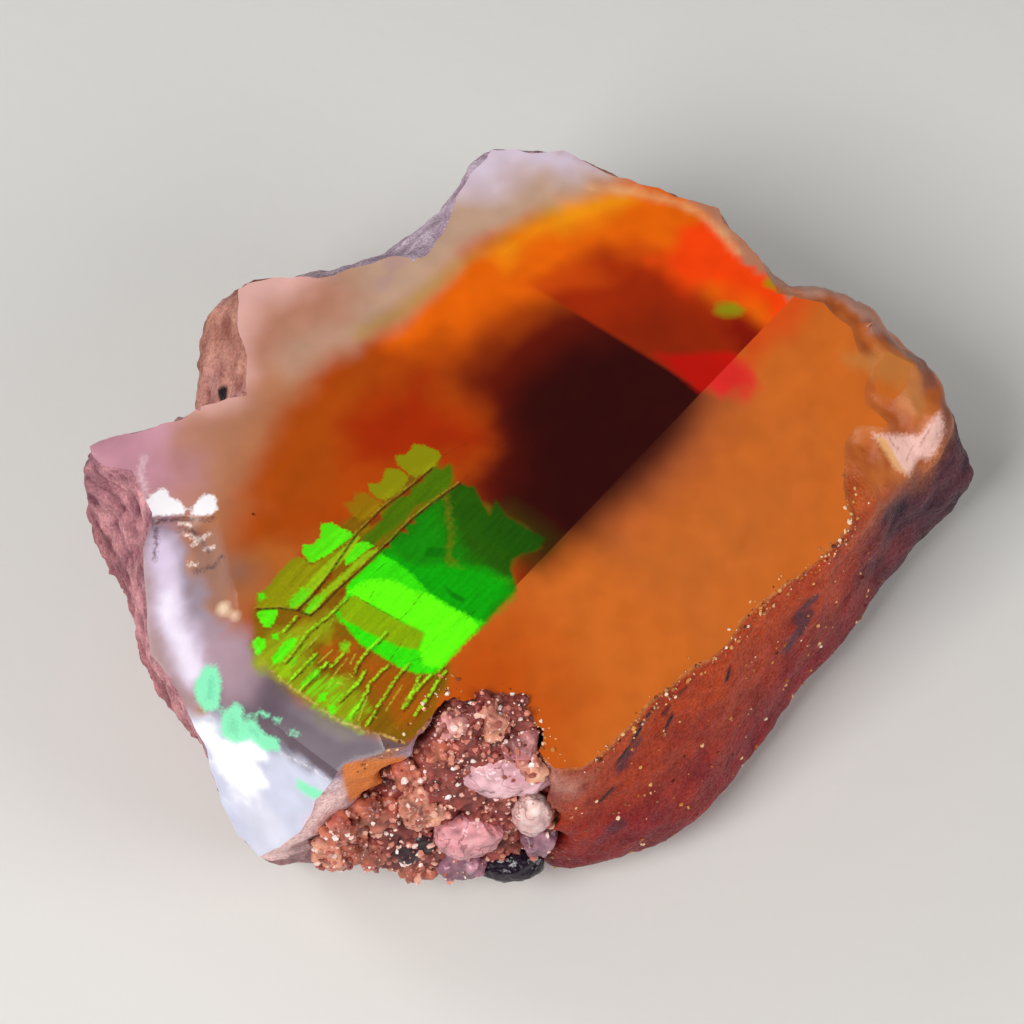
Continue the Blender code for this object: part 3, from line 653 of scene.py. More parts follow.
fireZones = [   # play of colour: an olive bed, then blocks from dark to bright, threads and cracks
    dict(name="fireBed", colour="#7C5C06", soft=0.16, wobble=0.3, strength=0.92,
         outlines=[[(7.6, 6.3), (6.8, 6.6), (5.0, 6.9), (3.2, 7.2), (1.6, 7.3), (-0.4, 7.5), (-2.1, 7.3),
                    (-2.6, 6.9), (-3.2, 6.5), (-3.55, 6.1), (-3.85, 5.6), (-3.6, 5.0), (-3.75, 4.4),
                    (-3.7, 3.5), (-3.65, 2.4), (-3.6, 1.5), (-3.25, 0.4), (-3.05, -0.1), (-2.6, -1.05),
                    (-1.6, -1.4), (-0.6, -1.0), (0.3, -0.7), (1.0, -0.3), (1.2, 0.1), (5.2, -0.05),
                    (5.8, 0.7), (6.5, 0.8), (7.3, 0.4), (7.6, 1.4), (7.4, 3.5), (7.4, 4.8)]]),
    dict(name="russet", colour="#A2540A", soft=0.35, wobble=0.5, strength=0.9,
         outlines=[[(-0.6, 3.4), (-0.5, 2.4), (-0.3, 1.4), (-0.2, 0.2), (-0.4, -0.6), (-1.6, -0.9),
                    (-2.2, -0.3), (-2.0, 0.6), (-1.8, 1.6), (-1.5, 2.4), (-2.1, 3.2), (-2.1, 4.1),
                    (-1.4, 4.0)],
                   [(-1.5, 5.6), (-1.2, 5.3), (-1.7, 5.0), (-2.0, 5.3)]]),
    dict(name="sedge", colour="#92A010", soft=0.25, wobble=0.5, strength=0.9,
         outlines=[[(-3.2, 6.3), (-2.3, 6.0), (-1.1, 5.3), (-0.4, 5.0), (-0.2, 4.4), (-1.0, 4.3), (-2.2, 4.4),
                    (-2.5, 3.4), (-2.3, 2.8), (-2.0, 2.2), (-2.5, 1.5), (-2.7, 0.9), (-3.3, 0.7), (-3.7, 2.0),
                    (-3.8, 4.0), (-3.9, 5.8)]]),
    dict(name="blades", colour="#6ECB12", soft=0.2, wobble=0.5, strength=0.9, streaks=(0.50, 0.58),
         outlines=[[(-3.5, 5.2), (-2.2, 5.4), (-1.9, 4.6), (-2.3, 3.6), (-2.4, 2.6), (-2.4, 1.8), (-2.6, 0.9),
                    (-3.3, 0.6), (-3.6, 1.6), (-3.7, 3.4), (-3.7, 4.6)]]),
    dict(name="moss", colour="#8E8C06", soft=0.05, wobble=0.12,
         outlines=[[(7.7, 7.5), (7.9, 7.1), (8.1, 6.5), (7.9, 6.2), (7.4, 6.1), (6.8, 6.2), (6.5, 6.4),
                    (6.5, 6.8), (6.5, 7.1), (6.6, 7.5), (6.8, 7.7), (7.1, 7.4), (7.4, 7.4)],
                   [(6.1, 7.6), (6.4, 7.2), (6.4, 6.7), (6.2, 6.5), (5.7, 6.4), (5.0, 6.6), (4.8, 7.0),
                    (4.9, 7.4), (5.1, 7.7), (5.4, 7.3), (5.7, 7.4)],
                   [(0.6, 7.7), (0.9, 7.4), (0.8, 6.9), (1.6, 6.7), (2.5, 6.5), (1.4, 6.3), (0.1, 6.3),
                    (-1.2, 6.2), (-1.6, 6.7), (-1.9, 7.1), (-1.9, 7.4), (-1.6, 7.7), (-0.9, 7.6),
                    (-0.3, 7.7)]]),
    dict(name="ochre", colour="#967404", soft=0.09, wobble=0.14, strength=0.85,
         outlines=[[(4.4, 7.8), (4.7, 7.5), (4.8, 6.9), (4.7, 6.6), (4.2, 6.5), (3.6, 6.7), (3.6, 7.3),
                    (3.8, 7.8), (4.1, 7.6)],
                   [(3.0, 6.6), (3.6, 6.5), (4.6, 6.5), (4.4, 6.2), (3.2, 6.2)]]),
    dict(name="fern", colour="#4A6E02", soft=0.08, wobble=0.10,
         outlines=[[(7.4, 6.1), (7.5, 5.8), (7.9, 5.8), (7.9, 5.6), (7.5, 5.2), (7.0, 5.0), (6.2, 5.2),
                    (5.5, 5.5), (4.9, 5.4), (4.1, 5.5), (3.3, 5.6), (3.0, 5.5), (2.6, 6.0), (3.2, 6.2),
                    (3.8, 6.1), (4.4, 6.3), (5.2, 6.3), (6.4, 6.1)]]),
    dict(name="pine", colour="#245602", soft=0.08, wobble=0.10,
         outlines=[[(7.5, 4.8), (7.7, 4.2), (7.35, 3.5), (7.1, 2.9), (7.8, 3.2), (7.5, 2.3), (7.6, 1.4),
                    (7.7, 0.5), (7.3, 0.4), (6.9, 0.5), (6.5, 0.8), (6.1, 0.9), (5.8, 0.7), (5.2, -0.1),
                    (2.8, -0.1), (2.4, 4.1), (3.0, 5.2), (3.8, 5.2), (5.0, 5.2), (6.3, 5.0)]]),
    dict(name="dimEnd", colour="#164A02", soft=0.6, wobble=0.3, strength=0.55,
         outlines=[[(6.6, 3.8), (7.4, 3.0), (8.0, 2.4), (8.0, 0.2), (6.6, 0.2), (5.9, 0.8), (6.2, 2.4)]]),
    dict(name="leaf", colour="#148404", soft=0.5, wobble=0.5,
         outlines=[[(6.2, 4.9), (5.0, 5.1), (3.4, 5.1), (3.2, 3.6), (3.3, 0.2), (5.0, 0.2), (5.0, 1.6),
                    (5.2, 3.0), (5.7, 3.9)]]),
    dict(name="straw", colour="#6A6A08", soft=0.14, wobble=0.3, width=0.10, strength=0.75,
         strokes=[[(6.8, 5.0), (5.9, 4.0), (5.3, 3.4), (4.6, 3.0), (4.3, 2.6)],
                  [(4.6, 3.0), (4.4, 2.0), (4.7, 1.2), (5.2, 0.4)]]),
    dict(name="emerald", colour="#0CA004", soft=0.22, wobble=0.25,
         outlines=[[(2.7, 5.2), (3.4, 5.0), (3.5, 3.9), (3.9, 3.2), (4.6, 2.4), (5.1, 1.5), (5.3, 0.4),
                    (4.9, -0.1), (2.8, -0.1), (2.4, 4.1)]]),
    dict(name="grass", colour="#34DE06", soft=0.08, wobble=0.12,
         outlines=[[(1.1, 5.2), (2.1, 5.2), (3.0, 5.1), (3.1, 4.4), (3.1, 3.6), (2.9, 2.6), (2.9, 1.7),
                    (3.0, 0.9), (3.3, -0.1), (0.3, -0.1), (-0.2, 0.5), (-0.4, 1.3), (-0.5, 2.3),
                    (-0.6, 3.0), (-0.4, 3.8), (-0.3, 4.4), (-0.2, 4.75), (0.2, 4.7), (0.6, 4.9)]]),
    dict(name="lime", colour="#62FF0A", soft=0.10, wobble=0.15,
         outlines=[[(0.9, 5.0), (1.8, 4.7), (2.4, 4.0), (2.5, 3.2), (2.8, 2.5), (2.9, 1.4), (3.1, 0.6),
                    (3.0, -0.1), (0.6, -0.1), (0.3, 0.5), (0.7, 1.1), (1.4, 1.4), (1.2, 2.5), (1.0, 3.8),
                    (0.8, 4.6)]]),
    dict(name="inset", colour="#84A804", soft=0.07, wobble=0.12,
         outlines=[[(0.1, 4.8), (0.9, 4.7), (1.0, 3.8), (1.2, 2.5), (1.4, 1.4), (0.7, 1.1), (0.3, 1.8),
                    (0.0, 3.1), (-0.2, 4.4)]]),
    dict(name="jade", colour="#0A6C02", soft=0.06, wobble=0.06, strength=0.8,
         outlines=[[(3.5, 2.2), (3.3, 1.7), (3.4, 1.1), (3.6, 1.2), (3.5, 1.8)],
                   [(4.0, 3.7), (4.5, 3.0), (4.9, 3.2), (4.4, 3.9)]]),
    dict(name="spring", colour="#58E60E", soft=0.05, wobble=0.12,
         outlines=[[(2.5, 7.9), (2.8, 7.6), (2.9, 7.0), (3.0, 6.5), (1.6, 6.7), (0.9, 7.0), (1.0, 7.6),
                    (1.3, 7.8), (1.6, 7.5), (2.0, 7.5)],
                   [(2.7, 6.2), (3.0, 6.0), (3.1, 5.6), (2.2, 5.7), (1.7, 5.8), (1.9, 6.1)],
                   [(-2.2, 7.1), (-1.9, 7.05), (-1.5, 6.6), (-1.75, 6.4), (-2.3, 6.25), (-2.45, 6.5)],
                   [(-3.15, 6.45), (-2.9, 6.4), (-2.8, 6.05), (-3.05, 5.85), (-3.45, 5.8), (-3.5, 6.0)],
                   [(-2.5, 6.0), (-2.25, 5.85), (-2.5, 5.65), (-2.65, 5.85)],
                   [(-2.15, 5.4), (-2.0, 5.1), (-2.35, 4.95), (-3.25, 4.95), (-3.45, 5.15), (-3.2, 5.35)],
                   [(-3.25, 2.8), (-3.0, 2.6), (-3.3, 2.45), (-3.6, 2.55)],
                   [(-3.4, 2.2), (-3.2, 1.95), (-3.5, 1.8), (-3.65, 1.95)],
                   [(-2.6, 3.65), (-2.4, 3.55), (-2.65, 3.3), (-3.2, 3.5), (-3.45, 3.45), (-3.45, 3.65)],
                   [(-1.5, 7.7), (-1.3, 7.5), (-1.4, 7.3), (-1.7, 7.4)]]),
    dict(name="pear", colour="#90B80E", soft=0.06, wobble=0.10,
         outlines=[[(3.1, 6.4), (3.0, 6.25), (2.1, 6.1), (0.5, 6.05), (-0.7, 6.05), (-1.1, 6.05),
                    (-1.1, 6.4), (-0.8, 6.5), (0.6, 6.5), (1.9, 6.5)],
                   [(3.1, 5.4), (3.0, 5.3), (2.0, 5.4), (0.6, 5.45), (-0.4, 5.45), (-0.9, 5.5),
                    (-0.95, 5.7), (0.2, 5.8), (1.4, 5.7), (2.6, 5.65)],
                   [(-3.45, 5.0), (-3.0, 4.5), (-3.45, 4.2), (-3.7, 4.55)]]),
    dict(name="sprout", colour="#62E012", soft=0.12, wobble=0.2, strength=0.9,
         outlines=[[(-0.2, 6.5), (-1.0, 6.5), (-1.15, 6.2), (-0.6, 6.0), (0.0, 6.1)],
                   [(-0.1, 5.8), (-0.9, 5.75), (-0.95, 5.5), (-0.2, 5.45), (0.2, 5.6)],
                   [(-1.1, 3.6), (-0.85, 3.55), (-0.9, 3.35), (-1.2, 3.2), (-1.3, 3.4)]]),
    dict(name="threadShadow", colour="#3C2C04", soft=0.05, wobble=0.12, width=0.05, strength=0.85,
         shift=(0.0, -0.10), strokes=threadStrokes),
    dict(name="threads", colour="#9CEC22", soft=0.045, wobble=0.11, width=0.036,
         strokes=threadStrokes),
    dict(name="fibres", colour="#BCC83A", soft=0.04, wobble=0.04, width=0.02, strength=0.9,
         strokes=fineStrokes),
    dict(name="fringeLine", colour="#D8B860", soft=0.05, wobble=0.10, width=0.03, strength=0.85,
         strokes=[[(-3.6, 5.0), (-3.75, 4.4), (-3.7, 3.5), (-3.65, 2.4), (-3.6, 1.5), (-3.25, 0.4),
                   (-3.05, -0.1), (-2.6, -1.05)]]),
    dict(name="rust", colour="#8A3C06", soft=0.06, wobble=0.10,
         outlines=[[(6.9, 6.3), (6.6, 6.0), (6.3, 6.25)], [(6.1, 6.3), (5.8, 6.0), (5.4, 6.3)],
                   [(4.5, 6.5), (4.2, 6.1), (3.6, 6.3), (3.8, 6.5)], [(3.7, 5.3), (3.4, 5.0), (3.2, 5.35)],
                   [(4.6, 5.3), (4.4, 4.9), (4.2, 5.3)], [(5.1, 5.3), (4.9, 4.95), (4.7, 5.3)],
                   [(1.2, 6.1), (0.9, 5.85), (0.5, 6.05)], [(0.3, 6.05), (0.1, 5.8), (-0.2, 6.0)],
                   [(0.9, 5.2), (0.7, 4.95), (0.4, 5.2)]]),
    dict(name="crackGlint", colour="#C9BE3C", soft=0.05, wobble=0.12, width=0.015, strength=0.5,
         shift=(0.0, 0.08), strokes=crackStrokes),
    dict(name="cracks", colour="#341804", soft=0.04, wobble=0.05, width=0.05, strength=0.95,
         strokes=crackStrokes),
    dict(name="fineCracks", colour="#2C3A04", soft=0.03, wobble=0.04, width=0.018, strength=0.85,
         strokes=[[(2.85, 4.7), (1.35, 4.75), (0.15, 4.9)], [(1.55, 4.2), (1.1, 4.1)],
                  [(2.75, 2.65), (1.95, 2.55), (1.3, 2.55)], [(0.05, 3.35), (-0.45, 3.4)],
                  [(0.5, 1.8), (-0.45, 1.65)], [(3.4, 0.5), (2.9, 0.55), (2.6, 0.35)],
                  [(4.2, 1.0), (4.0, 0.95)], [(-1.9, 3.35), (-3.3, 3.3)], [(-1.2, 4.45), (-3.0, 4.5)],
                  [(0.6, 0.7), (0.1, 1.0)], [(0.9, 4.7), (1.0, 3.8), (1.2, 2.5)]]),
    dict(name="hairlines", colour="#7A2A08", soft=0.03, wobble=0.08, width=0.02, strength=0.7,
         strokes=[[(7.8, 6.2), (8.4, 6.1), (9.1, 5.8), (9.8, 5.75)], [(7.6, 4.8), (8.8, 4.75), (10.4, 4.6)]]),
]
markZones = [   # small crisp marks on the flats and the broken corner, among them painted highlights and painted shade
    dict(name="scarlet", colour="#DC1404", soft=0.20, wobble=0.2, side="left",
         outlines=[[(17.25, 2.6), (17.9, 1.8), (18.6, 1.1), (19.2, 0.5), (19.5, -0.3), (17.0, -0.3)]]),
    dict(name="lemon", colour="#96880A", soft=0.20, wobble=0.2, side="left",
         outlines=[[(20.4, 2.0), (20.8, 2.2), (21.3, 1.7), (21.3, 1.2), (20.9, 1.15), (20.6, 1.5)],
                   [(22.8, 1.3), (23.5, 1.4), (24.1, 0.7), (23.7, 0.1), (23.1, 0.3)]]),
    dict(name="mint", colour="#8CF2BE", soft=0.10, wobble=0.16,
         facing=[[(-12.6, -2.8), (-12.2, -2.1), (-11.7, -2.1), (-11.5, -2.8), (-11.6, -3.8), (-12.2, -3.95),
                  (-12.6, -3.4)],
                 [(-11.6, -4.9), (-11.5, -4.0), (-10.9, -3.5), (-10.6, -3.7), (-10.6, -4.2), (-10.1, -4.2),
                  (-9.8, -4.7), (-9.2, -4.9), (-9.1, -5.4), (-9.8, -5.45), (-10.3, -5.0), (-11.0, -5.2)],
                 [(-10.5, -4.05), (-10.0, -3.9), (-10.1, -4.15)],
                 [(-9.9, -3.75), (-9.5, -4.0), (-9.8, -4.05)],
                 [(-9.4, -4.1), (-9.0, -4.1), (-9.2, -4.3)], [(-8.8, -4.7), (-8.5, -4.5), (-8.3, -4.75)],
                 [(-8.5, -6.5), (-8.1, -6.7), (-7.2, -7.1), (-7.2, -7.4), (-7.9, -7.3), (-8.5, -6.9)]]),
    dict(name="mintShade", colour="#62C49A", soft=0.10, wobble=0.3, strength=0.4,
         facing=[[(-11.3, -4.6), (-11.1, -4.0), (-10.9, -4.3), (-10.9, -4.9)],
                 [(-10.4, -4.5), (-10.0, -4.6), (-10.0, -4.9), (-10.4, -4.8)],
                 [(-12.0, -2.6), (-11.8, -2.5), (-11.8, -3.4), (-12.1, -3.5)]]),
    # a thin pale line along the upper edge of the corner face: a painted highlight
    dict(name="brim", colour="#EFE4EA", soft=0.04, wobble=0.08, width=0.035, strength=0.85,
         marks=[[(-9.1, -5.5), (-8.4, -5.8), (-7.7, -6.15), (-6.9, -6.7)]]),
    # the ledge's rounded lip, near white: a painted highlight
    dict(name="ledge", colour="#FFFAFC", soft=0.06, wobble=0.14,
         facing=[[(-15.0, 4.0), (-14.8, 4.5), (-14.3, 4.95), (-14.0, 4.9), (-13.8, 4.55), (-13.5, 4.5),
                  (-13.2, 4.15), (-13.3, 3.9), (-14.9, 3.82)],
                 [(-13.0, 4.05), (-12.7, 4.5), (-12.4, 4.75), (-12.0, 4.65), (-11.9, 4.1), (-12.2, 3.85),
                  (-13.0, 3.88)]]),
    dict(name="glints", colour="#FBE4DA", soft=0.06, wobble=0.2, width=0.07, strength=0.9,
         marks=[[(-13.5, 3.55), (-13.0, 3.5)], [(-13.2, 3.1), (-12.6, 2.9)], [(-12.9, 2.7), (-12.2, 3.1)],
                [(-13.0, 1.9), (-12.7, 1.9)], [(-12.4, 2.5), (-12.0, 2.6)]]),
    # dark lines under the ledge and in small grooves of the corner: painted shade
    dict(name="groove", colour="#54363C", soft=0.07, wobble=0.2, width=0.07, strength=0.8,
         marks=[[(-14.6, 3.65), (-13.2, 3.7), (-12.0, 3.7)], [(-14.4, 3.4), (-14.5, 2.0)],
                [(-13.4, 3.3), (-12.9, 3.25), (-12.2, 2.4)], [(-12.8, 1.6), (-12.0, 1.8), (-11.6, 2.2)]]),
    # a pale streak running up from the ledge: a painted highlight
    dict(name="upLine", colour="#F2D2D6", soft=0.14, wobble=0.2, width=0.09, strength=0.8,
         marks=[[(-15.0, 6.2), (-15.1, 5.6), (-14.9, 5.05), (-14.7, 4.45)]]),
    dict(name="peach", colour="#F2D0AE", soft=0.18, wobble=0.25,
         spots=[(-11.4, -7.5, 13.2, 0.28), (-11.0, -7.9, 13.4, 0.20)]),
    dict(name="specks", colour="#3A1A12", soft=0.03, wobble=0.04,
         spots=[(-10.4, -3.4, 13.7, 0.10), (-10.1, -9.2, 13.6, 0.09), (-10.6, -5.6, 13.6, 0.06)]),
]
skinZones = [   # on the natural skin, among them painted light and painted shade
    # pale pink on the steep skin below the corner face: the corner's milky colour carried on, made paler as
    # painted light where this skin lies in shade
    dict(name="blossom", colour="#FAD0CE", soft=0.4, wobble=0.5, width=1.0,
         lines=[[(-6.2, -14.2, 11.2), (-6.9, -14.5, 10.6), (-7.6, -14.7, 9.6), (-8.6, -15.1, 8.2),
                 (-9.0, -15.0, 7.0), (-9.9, -14.5, 5.1)]]),
    dict(name="powder", colour="#B8806E", soft=0.4, wobble=0.5, width=0.7,
         lines=[[(-6.0, -14.2, 12.4), (-5.2, -13.9, 12.6), (-4.4, -13.7, 13.5), (-3.8, -12.8, 13.6),
                 (-3.2, -12.2, 13.6)]]),
    dict(name="lobeSkin", colour="#D08244", soft=0.5, wobble=0.4, strength=0.85,
         spots=[(15.3, 4.2, 12.9, 0.95), (16.3, 4.2, 12.7, 0.75), (16.6, 3.5, 12.2, 0.55),
                (16.9, 2.9, 11.9, 0.4)]),
    dict(name="umberRim", colour="#7A463C", soft=0.45, wobble=0.5, width=0.42, strength=0.85,
         lines=[[(15.2, 6.2, 13.3), (17.0, 5.2, 12.2), (18.0, 3.9, 11.2), (18.3, 2.8, 10.6)]]),
    dict(name="bruise", colour="#4A2636", soft=0.22, wobble=0.6, strength=0.85,
         spots=[(12.1, -5.4, 8.6, 0.6), (12.3, -5.2, 9.2, 0.45), (11.8, -5.8, 8.0, 0.5),
                (11.5, -6.1, 7.5, 0.3),
                (5.0, -12.0, 10.3, 0.4), (4.6, -12.3, 9.9, 0.45), (4.3, -12.6, 9.4, 0.35),
                (4.5, -13.3, 5.7, 0.3), (4.2, -13.5, 5.4, 0.35), (3.8, -13.7, 5.0, 0.25)]),
    dict(name="paleRim", colour="#BC9080", soft=0.35, wobble=0.45, width=0.45, strength=0.85,
         lines=[[(10.4, 8.6, 14.2), (11.2, 7.6, 14.1), (12.4, 7.2, 13.9), (13.8, 7.3, 13.4),
                 (15.2, 6.3, 12.9)]]),
    dict(name="chip", colour="#FFCCC0", soft=0.14, wobble=0.22, strength=0.9,
         facing=[[(14.9, 7.2), (16.3, 7.2), (17.0, 7.2), (17.4, 7.7), (17.9, 8.2), (18.1, 7.5), (17.9, 6.8),
                  (17.5, 6.2), (17.0, 6.3), (16.5, 5.5), (16.0, 5.9), (15.6, 6.6)]]),
    # thin darker lines across the chip: painted shade at its small steps
    dict(name="chipLines", colour="#A8665C", soft=0.04, wobble=0.06, width=0.03, strength=0.8,
         marks=[[(17.6, 7.8), (17.3, 7.2), (16.9, 6.6)], [(16.9, 7.1), (16.6, 6.6), (16.4, 6.1)],
                [(16.3, 7.0), (16.0, 6.5)], [(17.8, 7.3), (17.5, 6.7)], [(15.6, 7.1), (15.9, 6.7)]]),
    dict(name="chipHoney", colour="#EFB070", soft=0.10, wobble=0.12,
         facing=[[(15.0, 7.15), (15.5, 7.05), (16.2, 5.8), (16.5, 5.5), (15.9, 5.8), (15.4, 6.5)]]),
    # near black strokes: painted shade in narrow slits, which the mesh doesn't cut
    dict(name="slits", colour="#180810", soft=0.06, wobble=0.12, width=0.15,
         lines=[[(5.1, -11.7, 11.0), (4.7, -12.1, 10.6)], [(6.5, -10.6, 11.0), (6.1, -10.8, 10.5)],
                [(6.5, -10.7, 10.2), (6.1, -10.95, 9.6)], [(7.3, -9.9, 11.3), (6.8, -10.2, 11.1)],
                [(8.9, -8.6, 10.2), (8.7, -8.85, 9.8)], [(5.6, -11.1, 11.4), (5.1, -11.6, 11.2)],
                [(4.6, -12.3, 10.5), (4.0, -12.7, 9.8)], [(4.0, -13.0, 8.3), (3.5, -13.3, 7.8)]]),
    dict(name="tangerine", colour="#EC8640", soft=0.12, wobble=0.2,
         facing=[[(-6.7, -5.7), (-4.2, -5.6), (-4.2, -6.5), (-5.3, -7.1), (-6.5, -7.6)]]),
    # near black: painted shade of a small hole that the mesh doesn't have
    dict(name="socket", colour="#150709", soft=0.10, wobble=0.1, spots=[(-12.1, 3.5, 11.7, 0.42)]),
]

opalFinish = {
    "ior": 1.44,
    "specular": 0.3,           # a softer highlight than glass has: the gel is full of water
    "polished": 0.09,          # roughness of the ground and polished window
    "glassy": 0.32,            # of the broken faces
    "frosted": 0.50,           # of the natural skin, and how far it strays from that
    "frostStray": 0.15,
    "glazedHeights": (9.6, 10.8),  # between these the end's skin turns as smooth as the breaks
    "ground": "#BC7A52",
    # painted light: a lighter orange band on the flank along the rim of the flats, where the edge catches the
    # light
    "litRimColour": "#D07838",
    "litRimBand": (0.05, 0.34),   # it fades out between these distances from the flats
    # painted light: how brightly the play of colour glows
    "fireGlow": 0.15,
    "absorb": "#B2380F",       # red-brown: what is left of white light on its way through
    "absorbDensity": 260.0,    # per metre
    "viewTilt": 60.0,          # degrees up, for zones drawn as seen from the front
    "panelLine": ((16.7, 7.2), (17.15, -0.4)),     # crisp border inside the left flat
    "panelSoft": 0.1,
    "ridgeSoft": 0.02,
    "crispBelow": 0.25,        # skin zones with a softer edge than this are painted on the corners
    "fineBelow": 0.15,         # crisp zones with a softer edge than this wobble more coarsely
    "wideAbove": 0.5,          # and so do painted zones, with a softer edge than this
    "paintWobble": 1.3,        # the painted zones' noise is weaker, so their wobble is raised
    "strays": {"wide": 3.4, "close": 1.1},         # size of the noise that moves painted zones
    "closeShade": 0.10,        # how much that noise lightens and darkens the gel
    "reliefShadingStray": 0.34,         # and moves the skin's painted shade and light of its relief
    "reliefShadingRange": 0.62,         # of this height from a hollow in painted shade to a top in painted light
    "heightStray": 0.4,        # how far the change of colour with height wanders
    # noise for crisp edges: size in millimetres, stretch along and across the ridge, detail
    "edgeNoise": {"patch": (0.9091, (1, 1, 1), 2.0), "fine": (0.14286, (1, 1, 1), 3.0),
                  "streak": (1.0, (0.55, 4.2, 1.0), 3.0)},
    "noiseSpan": (0.3, 0.7),   # the noise lies mostly between these
    "streakTone": (0.84, 1.14),
    "grainTone": (0.90, 1.08),
    "skinTone": (0.74, 1.30),
    "frostSpan": (0.35, 0.65),
    "pitted": 0.16,            # depth of the finest roughness
    "pittedGrip": (0.8, 0.1),  # its strength on frosted skin and on glazed skin
}
# colours in hollows and on high spots, painted shade and painted light of the relief, below and above the two
# heights
skinColours = {
    "left": {"heights": (4.0, 13.0), "below": ("#6A323C", "#CC8084"), "above": ("#6C3248", "#E8A6AA")},
    "flank": {"heights": (4.0, 10.5), "below": ("#6C0818", "#9A1C22"), "above": ("#A22A04", "#CA4A0A")},
    "end": {"heights": (8.2, 10.9), "below": ("#321024", "#642A38"), "above": ("#B85A24", "#DC7C38")},
    "milk": {"heights": (3.0, 12.0), "below": ("#7C4C54", "#C08E90"), "above": ("#94748A", "#E6D0DE")},
    "back": {"heights": (3.0, 12.0), "below": ("#642E2E", "#A86456"), "above": ("#8E4C40", "#DA9A86")},
}
crumbField = {                 # where crumbs cling to the stone
    "height": (6.5, 8.5),      # more and more of them between these
    "rimAt": 0.35,             # thickest this far below the flats
    "rimFade": (0.2, 0.5),
    "flankFade": (0.3, 0.7),
    "rim": 1.0,                # share of the full density there
    "flank": 0.06,             # and on the rest of the flank
    "around": dict(soft=0.45, wobble=0.6, width=0.25,     # the edge of the host rock
                   lines=[[(-6.2, -14.2, 12.4), (-4.8, -13.8, 13.2), (-3.8, -12.6, 13.6),
                           (-3.2, -11.6, 13.8), (-1.8, -10.9, 13.8), (-0.4, -11.2, 13.4),
                           (0.8, -12.4, 12.8), (1.6, -13.6, 12.0)]]),
}
crispSkin = [zone for zone in skinZones if zone["soft"] < opalFinish["crispBelow"]]
softSkin = [zone for zone in skinZones if zone["soft"] >= opalFinish["crispBelow"]]


def segmentDistance(points, start, end):
    edge = np.array(end, float) - start
    offset = points - np.array(start)
    share = np.clip(offset @ edge / (edge @ edge), 0, 1)
    return np.linalg.norm(offset - share[:, None] * edge, axis=1)


def outlineDistance(points, outline):  # millimetres inside an outline, negative outside
    x, y = points[:, 0], points[:, 1]
    nearest = np.full(len(points), np.inf)
    inside = np.zeros(len(points), bool)
    for (ax, ay), (bx, by) in zip(outline, outline[1:] + outline[:1]):
        nearest = np.minimum(nearest, segmentDistance(points, (ax, ay), (bx, by)))
        rise = (by - ay) or tiny
        inside ^= ((ay > y) != (by > y)) & (x < ax + (y - ay) * (bx - ax) / rise)
    return np.where(inside, nearest, -nearest)


def viewsOf(points):  # frame points as the zones' three kinds of place
    drawn = points - np.array(drawingZero)
    tilt = math.radians(opalFinish["viewTilt"])
    risen = drawn[:, 1] * math.sin(tilt) + drawn[:, 2] * math.cos(tilt)
    return {"plan": np.stack(ridgePlace(points[:, 0], points[:, 1]), axis=1),
            "facing": np.stack([drawn[:, 0], risen], axis=1), "drawn": drawn}


def zoneDistance(views, zone):  # millimetres inside a zone's nearest shape, negative outside
    found = [outlineDistance(views["plan"], outline) for outline in zone.get("outlines", [])]
    found += [outlineDistance(views["facing"], outline) for outline in zone.get("facing", [])]
    moved = views["plan"] - np.array(zone.get("shift", (0, 0)))
    for places, strokes in ((moved, "strokes"), (views["facing"], "marks"), (views["drawn"], "lines")):
        for stroke in zone.get(strokes, []):
            away = [segmentDistance(places, a, b) for a, b in zip(stroke, stroke[1:])]
            found.append(zone["width"] - np.min(away, axis=0))
    for x, y, z, radius in zone.get("spots", []):
        found.append(radius - np.linalg.norm(views["drawn"] - np.array((x, y, z)), axis=1))
    return np.max(found, axis=0)


def zoneShare(views, stray, zone):
    wander = stray["wide" if zone["soft"] > opalFinish["wideAbove"] else "close"]
    wander = wander * zone["wobble"] * opalFinish["paintWobble"]
    share = ease(zoneDistance(views, zone) + wander, -zone["soft"], zone["soft"])
    return share * zone.get("strength", 1.0)


def rgb(hexColour):
    return np.array(linear(hexColour)[:3])


def paint(views, stray, zones):  # colour and painted glow of the gel at each corner
    colour = np.tile(rgb(opalFinish["ground"]), (len(stray["wide"]), 1))
    glow = np.zeros(len(colour))
    for zone in zones:
        share = zoneShare(views, stray, zone)
        colour += (rgb(zone["colour"]) - colour) * share[:, None]
        glow += (zone.get("glow", 0.0) - glow) * share
    colour *= 1 + opalFinish["closeShade"] * stray["close"][:, None]
    return np.column_stack([colour, glow])


def paintSkin(views, points, shares, relief, litRimBand, stray):  # hollows in painted shade, high spots in painted light
    risen = relief + opalFinish["reliefShadingStray"] * stray["close"]
    reliefShading = np.clip(0.5 + risen / opalFinish["reliefShadingRange"], 0, 1)[:, None]
    colour = np.zeros((len(points), 3))
    for kind, looks in skinColours.items():
        low, high = looks["heights"]
        upper = (points[:, 2] - low) / (high - low) + opalFinish["heightStray"] * stray["wide"]
        upper = np.clip(upper, 0, 1)[:, None]
        for half, amount in (("below", 1 - upper), ("above", upper)):
            deep, light = [rgb(name) for name in looks[half]]
            colour += (deep + (light - deep) * reliefShading) * amount * shares[kind][:, None]
    # painted light along the flank's rim
    colour += (rgb(opalFinish["litRimColour"]) - colour) * litRimBand[:, None]
    for zone in softSkin:
        colour += (rgb(zone["colour"]) - colour) * zoneShare(views, stray, zone)[:, None]
    return np.column_stack([colour, np.zeros(len(colour))])


